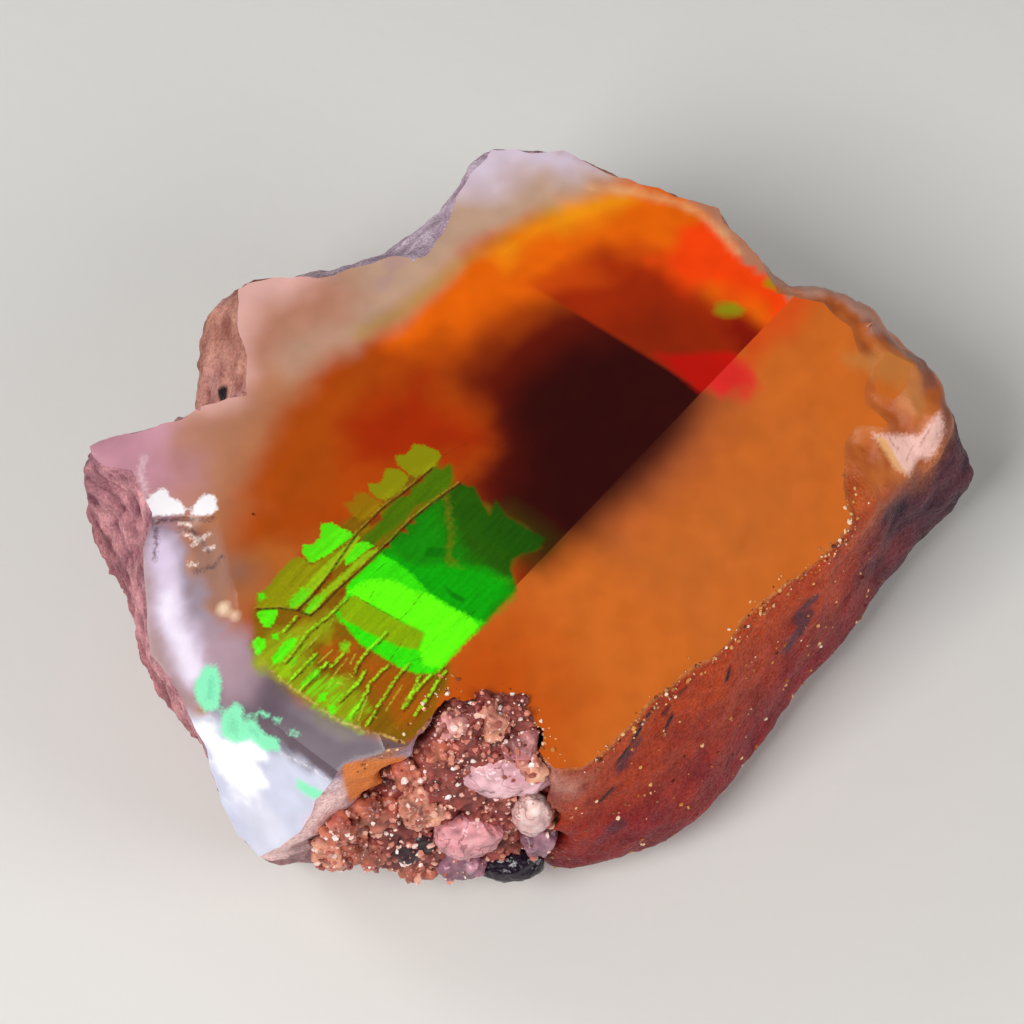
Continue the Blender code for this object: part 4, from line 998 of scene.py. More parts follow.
def setAttribute(mesh, name, values, kind="FLOAT"):
    layer = mesh.attributes.new(name, kind, "POINT")
    field = "vector" if kind == "FLOAT_VECTOR" else "color" if kind == "FLOAT_COLOR" else "value"
    layer.data.foreach_set(field, np.ascontiguousarray(values, np.float32).ravel())


def packZones(mesh, views, name, zones):  # the distances of three zones go into one attribute
    for first in range(0, len(zones), 3):
        trio = [zoneDistance(views, zone) for zone in zones[first:first + 3]]
        trio += [trio[0]] * (3 - len(trio))
        setAttribute(mesh, name + str(first // 3), np.stack(trio, axis=1), "FLOAT_VECTOR")


def beyondPanel(plan):  # millimetres past the panel's line
    (startAlong, startAcross), (endAlong, endAcross) = opalFinish["panelLine"]
    alongStep, acrossStep = endAlong - startAlong, endAcross - startAcross
    beyond = (plan[:, 1] - startAcross) * alongStep - (plan[:, 0] - startAlong) * acrossStep
    return beyond / math.hypot(alongStep, acrossStep)


def settling(views, points, shares, edgeDistance, onSkin, stray):  # share of crumbs at each corner
    rim = 1 - ease(np.abs(edgeDistance - crumbField["rimAt"]), *crumbField["rimFade"])
    flank = ease(shares["flank"], *crumbField["flankFade"]) * onSkin
    above = ease(points[:, 2], *crumbField["height"])
    around = zoneShare(views, stray, crumbField["around"])
    return np.maximum((rim * crumbField["rim"] * above + crumbField["flank"]) * flank,
                      around * crumbField["rim"])


def buildStone():
    shape, layer, sides = fineStone()
    shares, relief, edgeDistance, kinds = roughenStone(shape, layer, sides)
    broken = [facetNames[kinds.get(v, 0)].startswith(tuple(breaks)) for v in shape.verts]
    onSkin = np.zeros(len(broken))
    for face in shape.faces:
        face.smooth = True
        face.material_index = 1 if facetNames[face[layer]] in ("skin", "foot") else 0
        if face[layer] == 0:
            for vertex in face.verts:
                onSkin[vertex.index] = 1
    for edge in shape.edges:
        if edge[sides[0]] != edge[sides[1]]:
            edge.smooth = False
    points = np.array([v.co for v in shape.verts])
    stone = addObject("opalStone", shape)
    mesh = stone.data
    views = viewsOf(points)
    stray = {name: np.array([waver(p, size) for p in points])
             for name, size in opalFinish["strays"].items()}
    setAttribute(mesh, "ridgeSpace", np.column_stack([views["plan"], points[:, 2]]), "FLOAT_VECTOR")
    near = [zone for zone in gelZones if not zone.get("beyond")]
    for name, zones in (("gelNear", near), ("gelFar", gelZones), ("gelRight", paneZones)):
        setAttribute(mesh, name, paint(views, stray, zones), "FLOAT_COLOR")
    setAttribute(mesh, "beyond", beyondPanel(views["plan"]))
    setAttribute(mesh, "clearness", sum(zone["clear"] * zoneShare(views, stray, zone)
                                        for zone in gelZones if "clear" in zone))
    setAttribute(mesh, "broken", broken)
    for name, zones in (("fire", fireZones), ("mark", markZones), ("skinMark", crispSkin)):
        packZones(mesh, views, name, zones)
    # the flank's rim band of painted light
    litRimBand = (1 - ease(edgeDistance, *opalFinish["litRimBand"])) * onSkin * shares["flank"]
    painted = paintSkin(views, points, shares, relief, litRimBand, stray)
    setAttribute(mesh, "skinPaint", painted, "FLOAT_COLOR")
    setAttribute(mesh, "glazed", shares["end"] * ease(points[:, 2], *opalFinish["glazedHeights"]))
    setAttribute(mesh, "settle", settling(views, points, shares, edgeDistance, onSkin, stray))
    return stone


stone = buildStone()
print("stone:", len(stone.data.polygons), "faces", len(stone.data.vertices), "corners")


def edgeNoises(tree, place):
    found = {}
    for name, (size, stretch, detail) in opalFinish["edgeNoise"].items():
        spot = addNode(tree, "ShaderNodeVectorMath", {0: place, 1: stretch}, operation="MULTIPLY")
        found[name] = addNode(tree, "ShaderNodeTexNoise", {
            "Vector": spot.outputs[0], "Scale": 1 / size, "Detail": detail}).outputs[0]
    return found


def layCrisp(tree, colour, name, zones, noises, sideMask):  # crisp zones over a colour, and their masks
    masks = []
    for number, zone in enumerate(zones):
        if number % 3 == 0:
            packed = addNode(tree, "ShaderNodeAttribute", attribute_name=name + str(number // 3))
            split = addNode(tree, "ShaderNodeSeparateXYZ", {0: packed.outputs["Vector"]})
        source = noises["patch" if zone["soft"] > opalFinish["fineBelow"] else "fine"]
        offset = addNode(tree, "ShaderNodeMath", {     # the noise runs from 0 to 1, the wobble both ways
            0: source, 1: zone["wobble"] * 2.0, 2: -zone["wobble"]}, operation="MULTIPLY_ADD")
        moved = addNode(tree, "ShaderNodeMath", {0: offset.outputs[0], 1: split.outputs[number % 3]},
                        operation="ADD")
        mask = addNode(tree, "ShaderNodeMapRange", {
            "Value": moved.outputs[0], "From Min": -zone["soft"], "From Max": zone["soft"],
            "To Max": zone.get("strength", 1.0)}).outputs[0]
        if "side" in zone:
            mask = addNode(tree, "ShaderNodeMath", {0: mask, 1: sideMask}, operation="MULTIPLY").outputs[0]
        if "streaks" in zone:
            low, high = zone["streaks"]
            blade = addNode(tree, "ShaderNodeMapRange", {
                "Value": noises["streak"], "From Min": low, "From Max": high}).outputs[0]
            mask = addNode(tree, "ShaderNodeMath", {0: mask, 1: blade}, operation="MULTIPLY").outputs[0]
        colour = addNode(tree, "ShaderNodeMix", {0: mask, 6: colour, 7: linear(zone["colour"])},
                         data_type="RGBA").outputs[2]
        masks.append(mask)
    return colour, masks


# Precious opal, ground and polished. Its face is wet-looking and holds the room's reflection, and the
# colours lie still below it: milky rim, amber gel, a dark core that lets light in, and play of colour.
# The corner's broken faces share the colours but are duller, like the inside of a shell.
def windowMaterial():
    material, tree = newMaterial("preciousOpalGroundWindow")
    place, broken, line, clearness = [
        addNode(tree, "ShaderNodeAttribute", attribute_name=name).outputs[kind]
        for name, kind in (("ridgeSpace", "Vector"), ("broken", "Fac"), ("beyond", "Fac"),
                           ("clearness", "Fac"))]
    near, far, right = [addNode(tree, "ShaderNodeAttribute", attribute_name=name).outputs
                        for name in ("gelNear", "gelFar", "gelRight")]
    noises = edgeNoises(tree, place)
    across = addNode(tree, "ShaderNodeSeparateXYZ", {0: place}).outputs[1]
    leftSide, beyond = [addNode(tree, "ShaderNodeMapRange", {
        "Value": value, "From Min": -soft, "From Max": soft}).outputs[0]
        for value, soft in ((across, opalFinish["ridgeSoft"]), (line, opalFinish["panelSoft"]))]
    leftSide = addNode(tree, "ShaderNodeMath", {0: leftSide, 1: broken}, operation="MAXIMUM").outputs[0]
    colour = addNode(tree, "ShaderNodeMix", {0: beyond, 6: near["Color"], 7: far["Color"]},
                     data_type="RGBA").outputs[2]
    colour = addNode(tree, "ShaderNodeMix", {0: leftSide, 6: right["Color"], 7: colour},
                     data_type="RGBA").outputs[2]
    glow = addNode(tree, "ShaderNodeMix", {0: leftSide, 2: right["Alpha"], 3: far["Alpha"]}).outputs[0]

    # play of colour, with fine light and dark lines that run along it
    fired, masks = layCrisp(tree, colour, "fire", fireZones, noises, leftSide)
    low, high = opalFinish["noiseSpan"]
    tones = []
    for source, (dark, light) in (("streak", opalFinish["streakTone"]), ("fine", opalFinish["grainTone"])):
        tones.append(addNode(tree, "ShaderNodeMapRange", {
            "Value": noises[source], "From Min": low, "From Max": high,
            "To Min": dark, "To Max": light}).outputs[0])
    tone = addNode(tree, "ShaderNodeMath", {0: tones[0], 1: tones[1]}, operation="MULTIPLY").outputs[0]
    streaked = addNode(tree, "ShaderNodeVectorMath", {0: fired, "Scale": tone}, operation="SCALE").outputs[0]
    bed = masks[0]  # the first zone lies under all the play of colour
    colour = addNode(tree, "ShaderNodeMix", {0: bed, 6: fired, 7: streaked}, data_type="RGBA").outputs[2]
    glow = addNode(tree, "ShaderNodeMix", {0: bed, 2: glow, 3: opalFinish["fireGlow"]}).outputs[0]
    colour = layCrisp(tree, colour, "mark", markZones, noises, leftSide)[0]

    roughness = addNode(tree, "ShaderNodeMapRange", {
        "Value": broken, "To Min": opalFinish["polished"], "To Max": opalFinish["glassy"]}).outputs[0]
    clear = addNode(tree, "ShaderNodeMath", {0: clearness, 1: leftSide}, operation="MULTIPLY").outputs[0]
    # the glow is painted light: the gel and the play of colour shine in their own colour
    shader = addNode(tree, "ShaderNodeBsdfPrincipled", {
        "Base Color": colour, "Roughness": roughness, "IOR": opalFinish["ior"],
        "Specular IOR Level": opalFinish["specular"], "Transmission Weight": clear,
        "Emission Color": colour, "Emission Strength": glow})
    finishOpal(material, tree, shader)
    return material


# Opal's natural skin, as dug up: frosted and finely pitted, so it scatters light and shows no
# reflection; its colour holds painted shade in its hollows and painted light on its high spots. Near the
# right end the skin is worn smooth and has a soft gloss.
def skinMaterial():
    material, tree = newMaterial("opalSkinFrostedAndPitted")
    place, colour, glazed = [
        addNode(tree, "ShaderNodeAttribute", attribute_name=name).outputs[kind]
        for name, kind in (("ridgeSpace", "Vector"), ("skinPaint", "Color"), ("glazed", "Fac"))]
    noises = edgeNoises(tree, place)
    low, high = opalFinish["noiseSpan"]
    dark, light = opalFinish["skinTone"]
    tone = addNode(tree, "ShaderNodeMapRange", {
        "Value": noises["fine"], "From Min": low, "From Max": high,
        "To Min": dark, "To Max": light}).outputs[0]
    tone = addNode(tree, "ShaderNodeMix", {0: glazed, 2: tone, 3: 1.0}).outputs[0]
    colour = addNode(tree, "ShaderNodeVectorMath", {0: colour, "Scale": tone}, operation="SCALE").outputs[0]
    colour = layCrisp(tree, colour, "skinMark", crispSkin, noises, None)[0]
    low, high = opalFinish["frostSpan"]
    roughness = addNode(tree, "ShaderNodeMapRange", {
        "Value": noises["fine"], "From Min": low, "From Max": high,
        "To Min": opalFinish["frosted"] + opalFinish["frostStray"],
        "To Max": opalFinish["frosted"] - opalFinish["frostStray"]}).outputs[0]
    roughness = addNode(tree, "ShaderNodeMix", {0: glazed, 2: roughness, 3: opalFinish["glassy"]}).outputs[0]
    frosted, worn = opalFinish["pittedGrip"]
    grip = addNode(tree, "ShaderNodeMapRange", {"Value": glazed, "To Min": frosted, "To Max": worn})
    bump = addNode(tree, "ShaderNodeBump", {
        "Height": noises["fine"], "Distance": opalFinish["pitted"] * mm, "Strength": grip.outputs[0]})
    shader = addNode(tree, "ShaderNodeBsdfPrincipled", {
        "Base Color": colour, "Roughness": roughness, "IOR": opalFinish["ior"],
        "Specular IOR Level": opalFinish["specular"], "Normal": bump.outputs[0]})
    finishOpal(material, tree, shader)
    return material


def finishOpal(material, tree, shader):  # the same gel under every face
    gel = addNode(tree, "ShaderNodeVolumeAbsorption", {
        "Color": linear(opalFinish["absorb"]), "Density": opalFinish["absorbDensity"]})
    addNode(tree, "ShaderNodeOutputMaterial", {"Surface": shader.outputs[0], "Volume": gel.outputs[0]})
    material.cycles.emission_sampling = "NONE"


for material in (windowMaterial(), skinMaterial()):
    stone.data.materials.append(material)
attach(stone, "root")
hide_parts("opal")
print("stone finished")

# host rock: grains of quartz and feldspar grown together, and the crust between them
hostRock = {
    # x, y, z, three radii, kind
    "grains": [
        (-1.0, -11.8, 12.25, 2.1, 1.2, 1.3, "crust"), (1.5, -13.2, 6.8, 0.8, 0.8, 1.7, "brown"),
        (-4.5, -12.5, 5.2, 3.0, 2.2, 3.3, "crust"), (-1.0, -12.3, 4.4, 2.6, 2.0, 3.0, "crust"),
        (-1.2, -11.7, 10.6, 2.65, 1.75, 2.6, "crust"), (-2.3, -11.7, 7.2, 4.5, 2.5, 5.6, "crust"),
        (-1.8, -14.4, 6.8, 1.42, 0.95, 1.38, "pink"), (-0.2, -13.4, 10.3, 1.98, 0.88, 1.02, "clear"),
        (-2.2, -12.4, 12.8, 0.80, 0.80, 0.80, "rose"), (-0.8, -12.3, 13.0, 0.80, 0.70, 0.80, "peach"),
        (0.3, -12.9, 12.0, 0.85, 0.75, 0.75, "rose"), (0.8, -13.8, 7.7, 0.8, 0.85, 1.4, "milky"),
        (0.0, -14.1, 3.4, 1.45, 0.85, 0.95, "black"), (-2.1, -14.2, 3.8, 1.1, 0.9, 1.1, "grey"),
        (-5.3, -14.0, 8.2, 1.0, 0.8, 0.85, "brown"), (-6.0, -14.3, 5.4, 1.05, 0.85, 1.0, "brown"),
        (-3.7, -14.0, 8.6, 1.1, 0.9, 1.1, "peach"), (-4.2, -13.4, 10.6, 0.85, 0.7, 0.8, "brown"),
        (-4.0, -14.0, 3.5, 1.1, 0.8, 0.85, "brown"), (-7.0, -14.1, 4.2, 0.9, 0.75, 0.8, "rose"),
        (-2.7, -13.0, 11.5, 0.8, 0.75, 0.75, "brown"), (1.1, -13.8, 5.4, 0.8, 0.85, 0.95, "grey"),
        (-4.0, -14.2, 5.9, 0.95, 0.8, 0.9, "dark"), (-6.6, -14.1, 7.6, 0.9, 0.7, 1.5, "brown"),
        (0.9, -13.5, 11.4, 0.7, 0.6, 0.9, "peach"), (-7.0, -14.7, 8.0, 0.75, 0.6, 1.2, "brown"),
        (-7.4, -14.6, 5.6, 0.85, 0.6, 1.0, "peach"),
    ],
    # colour, relief, how angular, share of the crumbs that settle on it, gloss
    "kinds": {
        "crust": ("#A24C40", 0.42, 0.0, 1.0, 0.0), "pink": ("#E49EA2", 0.13, 0.20, 0.08, 1.0),
        "clear": ("#FFC8CE", 0.13, 0.14, 0.08, 1.0), "rose": ("#FAA8A0", 0.30, 0.25, 1.0, 0.3),
        "peach": ("#FFB08E", 0.34, 0.25, 1.0, 0.3), "milky": ("#F6CCC4", 0.10, 0.10, 0.05, 1.0),
        "black": ("#1E1022", 0.10, 0.15, 0.0, 1.0), "grey": ("#B88494", 0.22, 0.2, 0.3, 0.6),
        "brown": ("#D0765A", 0.40, 0.25, 1.0, 0.2), "dark": ("#3A1B28", 0.30, 0.2, 0.5, 0.2),
    },
    "finest": (6, 5, 4),       # subdivisions of the crust, of large or glassy grains, of the rest
    "large": 1.0,              # half width in millimetres
    "shift": 50.0,             # each grain takes its noise from a place of its own, this far off
    "cuts": 12,                # flat faces that an angular grain can show
    "cutShare": 0.8,           # how far the most angular grain is cut
    "lumpSize": 0.50,
    "lumpLevel": 0.42,
    "roughSize": 0.8,
    "roughFractal": (0.7, 2.1, 4),
    "roughShare": 0.8,         # of a kind's relief, for the lumps and for the roughness
    "mottleSize": 0.5,
    "mottle": 0.5,
    "shade": (0.85, 1.15),     # grains of one kind differ by this much
    "dimmest": 0.55,           # shade of the hollows on a rough grain
    "dimSlope": 1.6,
    "roughRelief": 0.2,        # a grain with more relief than this has painted shade in its hollows
    "veinSize": 1.25,          # noise in the stone: size in millimetres
    "veinSpan": (0.35, 0.62),  # darker below, the grain's own colour above
    "veinShade": (0.66, 0.50, 0.60),
    "glassyClean": 0.5,        # how much less of that a glassy grain has
    "crackAt": (0.52, 0.010),  # cracks lie where the vein noise has this value, give or take this
    "crackShade": (0.30, 0.16, 0.18),
    "crackShare": 0.6,
    "roughness": (0.42, 0.12),  # of an earthy grain and of a glassy one
    "ior": 1.54,
    "pitSize": 0.38462,
    "pitDepth": 0.12,
    "pitGrip": 0.8,
    "seed": 11,
}


def buildHostRock():
    shape = bmesh.new()
    tint = shape.verts.layers.float_color.new("tint")
    settle = shape.verts.layers.float.new("settle")
    gloss = shape.verts.layers.float.new("gloss")
    chance = random.Random(hostRock["seed"])
    for x, y, z, wide, deep, tall, kind in hostRock["grains"]:
        colour, relief, angular, crumbs, shine = hostRock["kinds"][kind]
        size = 0 if kind == "crust" else 1 if shine == 1.0 or wide > hostRock["large"] else 2
        made = bmesh.ops.create_icosphere(shape, subdivisions=hostRock["finest"][size], radius=1.0)["verts"]
        shift = Vector([chance.uniform(-hostRock["shift"], hostRock["shift"]) for _ in range(3)])
        cuts = [Vector([chance.gauss(0, 1) for _ in range(3)]).normalized()
                for _ in range(hostRock["cuts"])]
        base = linear(colour)
        shade = chance.uniform(*hostRock["shade"])
        for vertex in made:
            way = vertex.co.normalized()
            reach = min((1 - angular * hostRock["cutShare"]) / max(way.dot(cut), tiny) for cut in cuts)
            reach = min(1.0, reach) if angular else 1.0
            spot = Vector((way.x * wide, way.y * deep, way.z * tall)) * reach
            lump = hostRock["lumpLevel"] - noise.voronoi((spot + shift) / hostRock["lumpSize"])[0][0]
            rough = noise.fractal((spot + shift) / hostRock["roughSize"], *hostRock["roughFractal"])
            spot += way * relief * (hostRock["roughShare"] * lump + hostRock["roughShare"] * rough)
            mottle = 1 + hostRock["mottle"] * waver(spot + shift, hostRock["mottleSize"])
            # painted shade: the hollows between lumps are darker
            dim = min(1.0, max(0.0, 0.5 + hostRock["dimSlope"] * (lump + rough)))
            dim = hostRock["dimmest"] + (1 - hostRock["dimmest"]) * dim
            vertex.co = spot + Vector((x, y, z)) + drawingZero
            amount = shade * mottle * (dim if relief > hostRock["roughRelief"] else 1.0)
            vertex[tint] = [min(1.0, channel * amount) for channel in base[:3]] + [1.0]
            vertex[settle] = crumbs
            vertex[gloss] = shine
    for vertex in shape.verts:
        vertex.co.z = max(vertex.co.z, 0.0)
    for face in shape.faces:
        face.smooth = True
    return addObject("hostRock", shape)


# Quartz and feldspar, as broken out with the stone: the large grains look like wet sugar candy,
# glossy with fine dark cracks, and the crust between them is earthy and dull.
def hostRockMaterial():
    material, tree = newMaterial("quartzGrainsFreshlyBroken")
    place = addNode(tree, "ShaderNodeTexCoord").outputs["Object"]
    tint = addNode(tree, "ShaderNodeAttribute", attribute_name="tint").outputs["Color"]
    gloss = addNode(tree, "ShaderNodeAttribute", attribute_name="gloss").outputs["Fac"]
    pits = addNode(tree, "ShaderNodeTexNoise", {
        "Vector": place, "Scale": 1 / (hostRock["pitSize"] * mm), "Detail": 4.0}).outputs[0]
    veins = addNode(tree, "ShaderNodeTexNoise", {
        "Vector": place, "Scale": 1 / (hostRock["veinSize"] * mm), "Detail": 3.0}).outputs[0]
    clean = addNode(tree, "ShaderNodeMapRange", {
        "Value": gloss, "To Max": hostRock["glassyClean"]}).outputs[0]
    low, high = hostRock["veinSpan"]
    own = addNode(tree, "ShaderNodeMapRange", {
        "Value": veins, "From Min": low, "From Max": high, "To Min": clean}).outputs[0]
    dark, deep = [addNode(tree, "ShaderNodeVectorMath", {0: tint, 1: hostRock[name]},
                          operation="MULTIPLY").outputs[0] for name in ("veinShade", "crackShade")]
    colour = addNode(tree, "ShaderNodeMix", {0: own, 6: dark, 7: tint}, data_type="RGBA").outputs[2]
    level, width = hostRock["crackAt"]
    crack = addNode(tree, "ShaderNodeMath", {0: veins, 1: level, 2: width}, operation="COMPARE").outputs[0]
    for amount in (gloss, hostRock["crackShare"]):
        crack = addNode(tree, "ShaderNodeMath", {0: crack, 1: amount}, operation="MULTIPLY").outputs[0]
    colour = addNode(tree, "ShaderNodeMix", {0: crack, 6: colour, 7: deep}, data_type="RGBA").outputs[2]
    earthy, glassy = hostRock["roughness"]
    roughness = addNode(tree, "ShaderNodeMapRange", {"Value": gloss, "To Min": earthy, "To Max": glassy})
    bump = addNode(tree, "ShaderNodeBump", {
        "Height": pits, "Distance": hostRock["pitDepth"] * mm, "Strength": hostRock["pitGrip"]})
    shader = addNode(tree, "ShaderNodeBsdfPrincipled", {
        "Base Color": colour, "Roughness": roughness.outputs[0], "IOR": hostRock["ior"],
        "Normal": bump.outputs[0]})
    addNode(tree, "ShaderNodeOutputMaterial", {"Surface": shader.outputs[0]})
    return material


rock = buildHostRock()
rock.data.materials.append(hostRockMaterial())
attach(rock, "root")
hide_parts("matrix")
print("host rock:", len(rock.data.polygons), "faces")


# crumbs of quartz, scattered on the rock and along the stone's rim
grit = {
    "shapes": 5,
    "stretch": (0.6, 1.2),     # of a whole crumb
    "knobs": (0.8, 1.15),      # and of each of its corners
    "smallBias": 2.6,          # above 1, small crumbs are commoner than large ones
    "fullTurn": 6.28,
    "draws": {"size": 1, "turn": 2, "which": 4, "shade": 6},
    "roughness": 0.16,
    "seed": 3,
    # the palest colours of each ramp stand partly for glints: painted highlights
    "rock": {"density": 9.0e6, "smallest": 0.05, "largest": 0.20,    # per square metre; mm
             "shades": ((0.0, "#70342E"), (0.25, "#B8665A"), (0.55, "#E6947E"), (0.8, "#FCC6B0"),
                        (1.0, "#FFF6F0"))},
    "rim": {"density": 1.5e7, "smallest": 0.04, "largest": 0.13,
            "shades": ((0.0, "#5A1C10"), (0.3, "#B0602A"), (0.6, "#DE9848"), (0.85, "#F4C890"),
                       (1.0, "#FFF0D8"))},
}


def crumbShapes():
    chance = random.Random(grit["seed"])
    collection = bpy.data.collections.new("crumbs")
    for number in range(grit["shapes"]):
        shape = bmesh.new()
        bmesh.ops.create_icosphere(shape, subdivisions=1, radius=1.0)
        stretch = Vector([chance.uniform(*grit["stretch"]) for _ in range(3)])
        for vertex in shape.verts:
            vertex.co = vertex.co * chance.uniform(*grit["knobs"]) * stretch
        obj = addObject("crumb%d" % number, shape)
        bpy.context.scene.collection.objects.unlink(obj)
        collection.objects.link(obj)
    return collection


# Crushed quartz, clean on the rock and stained by iron on the stone: tiny glossy crumbs from dark to
# nearly white, the palest of which sparkle, partly as painted glints.
def gritMaterial(name, stops):
    material, tree = newMaterial(name)
    shade = addNode(tree, "ShaderNodeAttribute", attribute_name="shade").outputs["Fac"]
    ramp = addNode(tree, "ShaderNodeValToRGB", {0: shade})
    while len(ramp.color_ramp.elements) < len(stops):
        ramp.color_ramp.elements.new(1.0)
    for element, (position, colour) in zip(ramp.color_ramp.elements, stops):
        element.position = position
        element.color = linear(colour)
    shader = addNode(tree, "ShaderNodeBsdfPrincipled", {
        "Base Color": ramp.outputs[0], "Roughness": grit["roughness"], "IOR": hostRock["ior"]})
    addNode(tree, "ShaderNodeOutputMaterial", {"Surface": shader.outputs[0]})
    return material


def scatterGroup():
    tree = bpy.data.node_groups.new("scatterCrumbs", "GeometryNodeTree")
    sockets = {}
    for name, kind in (("Surface", "NodeSocketGeometry"), ("Crumbs", "NodeSocketCollection"),
                       ("Density", "NodeSocketFloat"), ("Smallest", "NodeSocketFloat"),
                       ("Largest", "NodeSocketFloat"), ("Seed", "NodeSocketInt"),
                       ("Material", "NodeSocketMaterial")):
        sockets[name] = tree.interface.new_socket(name, in_out="INPUT", socket_type=kind).identifier
    tree.interface.new_socket("Crumbs", in_out="OUTPUT", socket_type="NodeSocketGeometry")
    given = addNode(tree, "NodeGroupInput").outputs
    draws = grit["draws"]
    settle = addNode(tree, "GeometryNodeInputNamedAttribute", {"Name": "settle"}).outputs[0]
    density = addNode(tree, "ShaderNodeMath", {0: settle, 1: given["Density"]},
                      operation="MULTIPLY").outputs[0]
    points = addNode(tree, "GeometryNodeDistributePointsOnFaces", {
        "Mesh": given["Surface"], "Density": density, "Seed": given["Seed"]}).outputs["Points"]
    even = addNode(tree, "FunctionNodeRandomValue", {"Seed": draws["size"]}).outputs[1]
    spread = addNode(tree, "ShaderNodeMath", {0: even, 1: grit["smallBias"]}, operation="POWER").outputs[0]
    size = addNode(tree, "ShaderNodeMapRange", {
        "Value": spread, "To Min": given["Smallest"], "To Max": given["Largest"]}).outputs[0]
    turn = addNode(tree, "FunctionNodeRandomValue", {
        0: (0, 0, 0), 1: [grit["fullTurn"]] * 3, "Seed": draws["turn"]}, data_type="FLOAT_VECTOR").outputs[0]
    which = addNode(tree, "FunctionNodeRandomValue", {
        4: 0, 5: grit["shapes"] - 1, "Seed": draws["which"]}, data_type="INT").outputs[2]
    source = addNode(tree, "GeometryNodeCollectionInfo", {
        "Collection": given["Crumbs"], "Separate Children": True, "Reset Children": True}).outputs[0]
    placed = addNode(tree, "GeometryNodeInstanceOnPoints", {
        "Points": points, "Instance": source, "Pick Instance": True, "Instance Index": which,
        "Rotation": turn, "Scale": size}).outputs[0]
    shade = addNode(tree, "FunctionNodeRandomValue", {"Seed": draws["shade"]}).outputs[1]
    stored = addNode(tree, "GeometryNodeStoreNamedAttribute", {
        "Geometry": placed, "Name": "shade", "Value": shade}, domain="INSTANCE").outputs[0]
    real = addNode(tree, "GeometryNodeRealizeInstances", {0: stored}).outputs[0]
    dressed = addNode(tree, "GeometryNodeSetMaterial", {
        "Geometry": real, "Material": given["Material"]}).outputs[0]
    addNode(tree, "NodeGroupOutput", {0: dressed})
    return tree, sockets


def scatter(name, surface, amounts, seed, group, sockets, crumbs, material):
    carrier = bpy.data.objects.new(name + "Carrier", surface.data)
    bpy.context.scene.collection.objects.link(carrier)
    modifier = carrier.modifiers.new("scatter", "NODES")
    modifier.node_group = group
    for key, value in (("Crumbs", crumbs), ("Density", amounts["density"]),
                       ("Smallest", amounts["smallest"]), ("Largest", amounts["largest"]),
                       ("Seed", seed), ("Material", material)):
        modifier[sockets[key]] = value
    seen = carrier.evaluated_get(bpy.context.evaluated_depsgraph_get())
    mesh = bpy.data.meshes.new_from_object(seen)
    carrier.modifiers.remove(modifier)
    bpy.data.objects.remove(carrier)
    piece = bpy.data.objects.new(name, mesh)
    bpy.context.scene.collection.objects.link(piece)
    print(name, len(mesh.polygons), "faces")
    return piece


crumbs = crumbShapes()
group, sockets = scatterGroup()
for name, surface, amounts, materialName, slotName in (
        ("rockGrit", rock, grit["rock"], "quartzCrumbsGlassy", "host_rock"),
        ("rimGrit", stone, grit["rim"], "quartzCrumbsIronStained", "opal")):
    crumbMaterial = gritMaterial(materialName, amounts["shades"])
    piece = scatter(name, surface, amounts, grit["seed"], group, sockets, crumbs, crumbMaterial)
    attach(piece, "root")
print("grit scattered")

# floor, light and camera
studio = {
    "floorSize": 700.0,
    "floorColour": "#E9E7E2",
    "floorRoughness": 0.8,
    "fibreSize": 1.1111,
    "fibreHeight": 0.02,
    "worldColour": "#F2F3F6",
    "worldStrength": 0.17,
    # name: place, where it points, width, power in watts
    "lights": {
        "key": ((-110, -120, 190), (0, 0, 8), 110, 0.42),
        "fill": ((170, -80, 110), (0, 0, 8), 120, 0.16),
        "rim": ((-190, 80, 135), (0, 0, 8), 80, 0.10),
    },
    "lens": 125.0,
    "sensor": 36.0,
    "cameraDistance": 150.0,
    "cameraElevation": 60.0,
    "lookAt": (0, 0, 8),
}


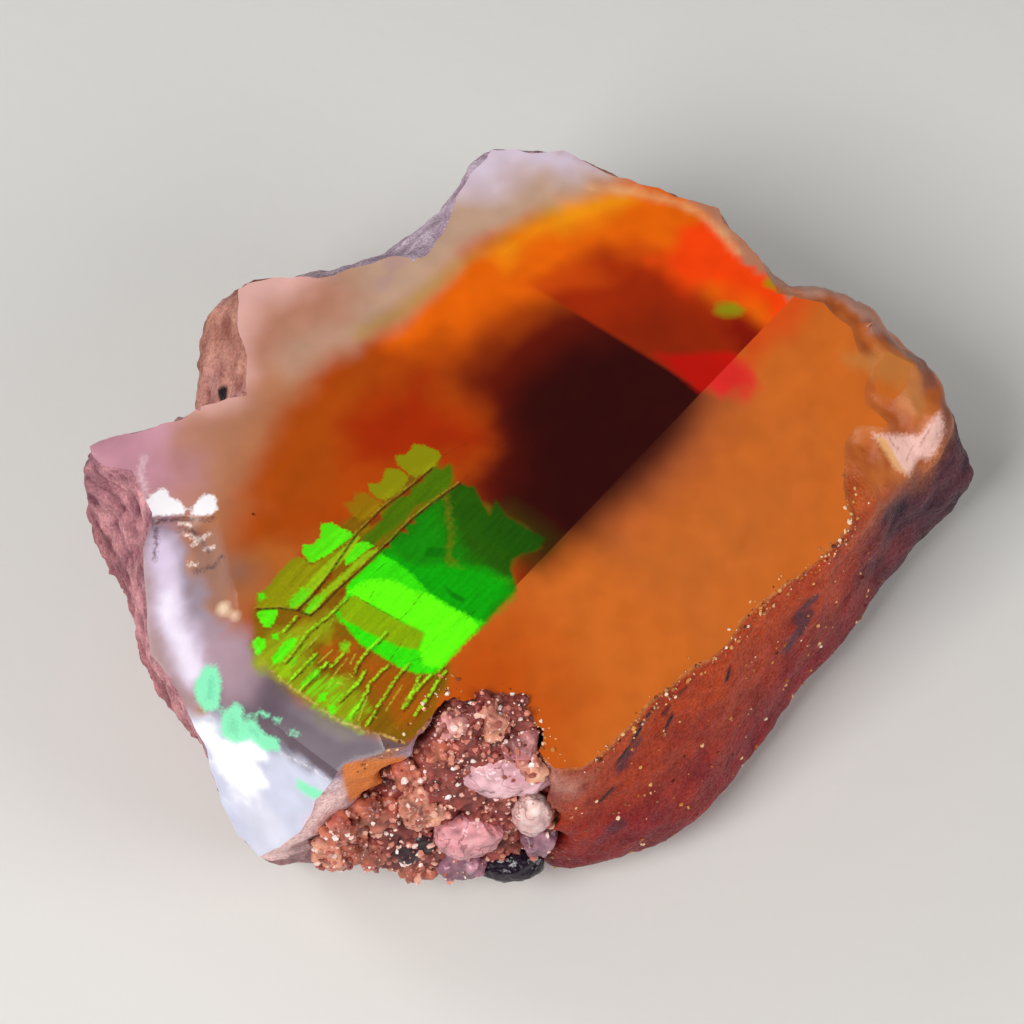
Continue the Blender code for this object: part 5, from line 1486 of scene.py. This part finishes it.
# Pale paper, uncoated: flat and matt, so it takes soft shadows and shows no reflection.
def buildFloor():
    shape = bmesh.new()
    bmesh.ops.create_grid(shape, x_segments=2, y_segments=2, size=studio["floorSize"] / 2)
    floor = addObject("floor", shape)
    material, tree = newMaterial("palePaperMatt")
    place = addNode(tree, "ShaderNodeTexCoord").outputs["Object"]
    fibres = addNode(tree, "ShaderNodeTexNoise", {
        "Vector": place, "Scale": 1 / (studio["fibreSize"] * mm), "Detail": 2.0})
    bump = addNode(tree, "ShaderNodeBump", {
        "Height": fibres.outputs[0], "Distance": studio["fibreHeight"] * mm})
    shader = addNode(tree, "ShaderNodeBsdfPrincipled", {
        "Base Color": linear(studio["floorColour"]), "Roughness": studio["floorRoughness"],
        "Normal": bump.outputs[0]})
    addNode(tree, "ShaderNodeOutputMaterial", {"Surface": shader.outputs[0]})
    floor.data.materials.append(material)


def aim(obj, place, target):
    place, target = (Vector(point) * mm for point in (place, target))
    obj.location = place
    obj.rotation_euler = (place - target).to_track_quat("Z", "Y").to_euler()


def buildLights():
    for name, (place, target, width, power) in studio["lights"].items():
        data = bpy.data.lights.new(name, "AREA")
        data.shape = "SQUARE"
        data.size = width * mm
        data.energy = power
        light = bpy.data.objects.new(name, data)
        bpy.context.scene.collection.objects.link(light)
        aim(light, place, target)
    world = bpy.data.worlds.new("softRoom")
    world.use_nodes = True
    background = world.node_tree.nodes["Background"]
    background.inputs["Color"].default_value = linear(studio["worldColour"])
    background.inputs["Strength"].default_value = studio["worldStrength"]
    bpy.context.scene.world = world


def buildCamera():
    data = bpy.data.cameras.new("camera")
    data.lens = studio["lens"]
    data.sensor_width = studio["sensor"]
    data.clip_start = mm
    camera = bpy.data.objects.new("camera", data)
    bpy.context.scene.collection.objects.link(camera)
    tilt = math.radians(studio["cameraElevation"])
    target = Vector(studio["lookAt"]) + drawingZero
    back = Vector((0, -math.cos(tilt), math.sin(tilt))) * studio["cameraDistance"]
    aim(camera, target + back, target)
    bpy.context.scene.camera = camera


buildFloor()
buildLights()
buildCamera()
bpy.context.scene.view_settings.view_transform = "Standard"
bpy.context.scene.cycles.use_denoising = True
print("floor, lights and camera placed")
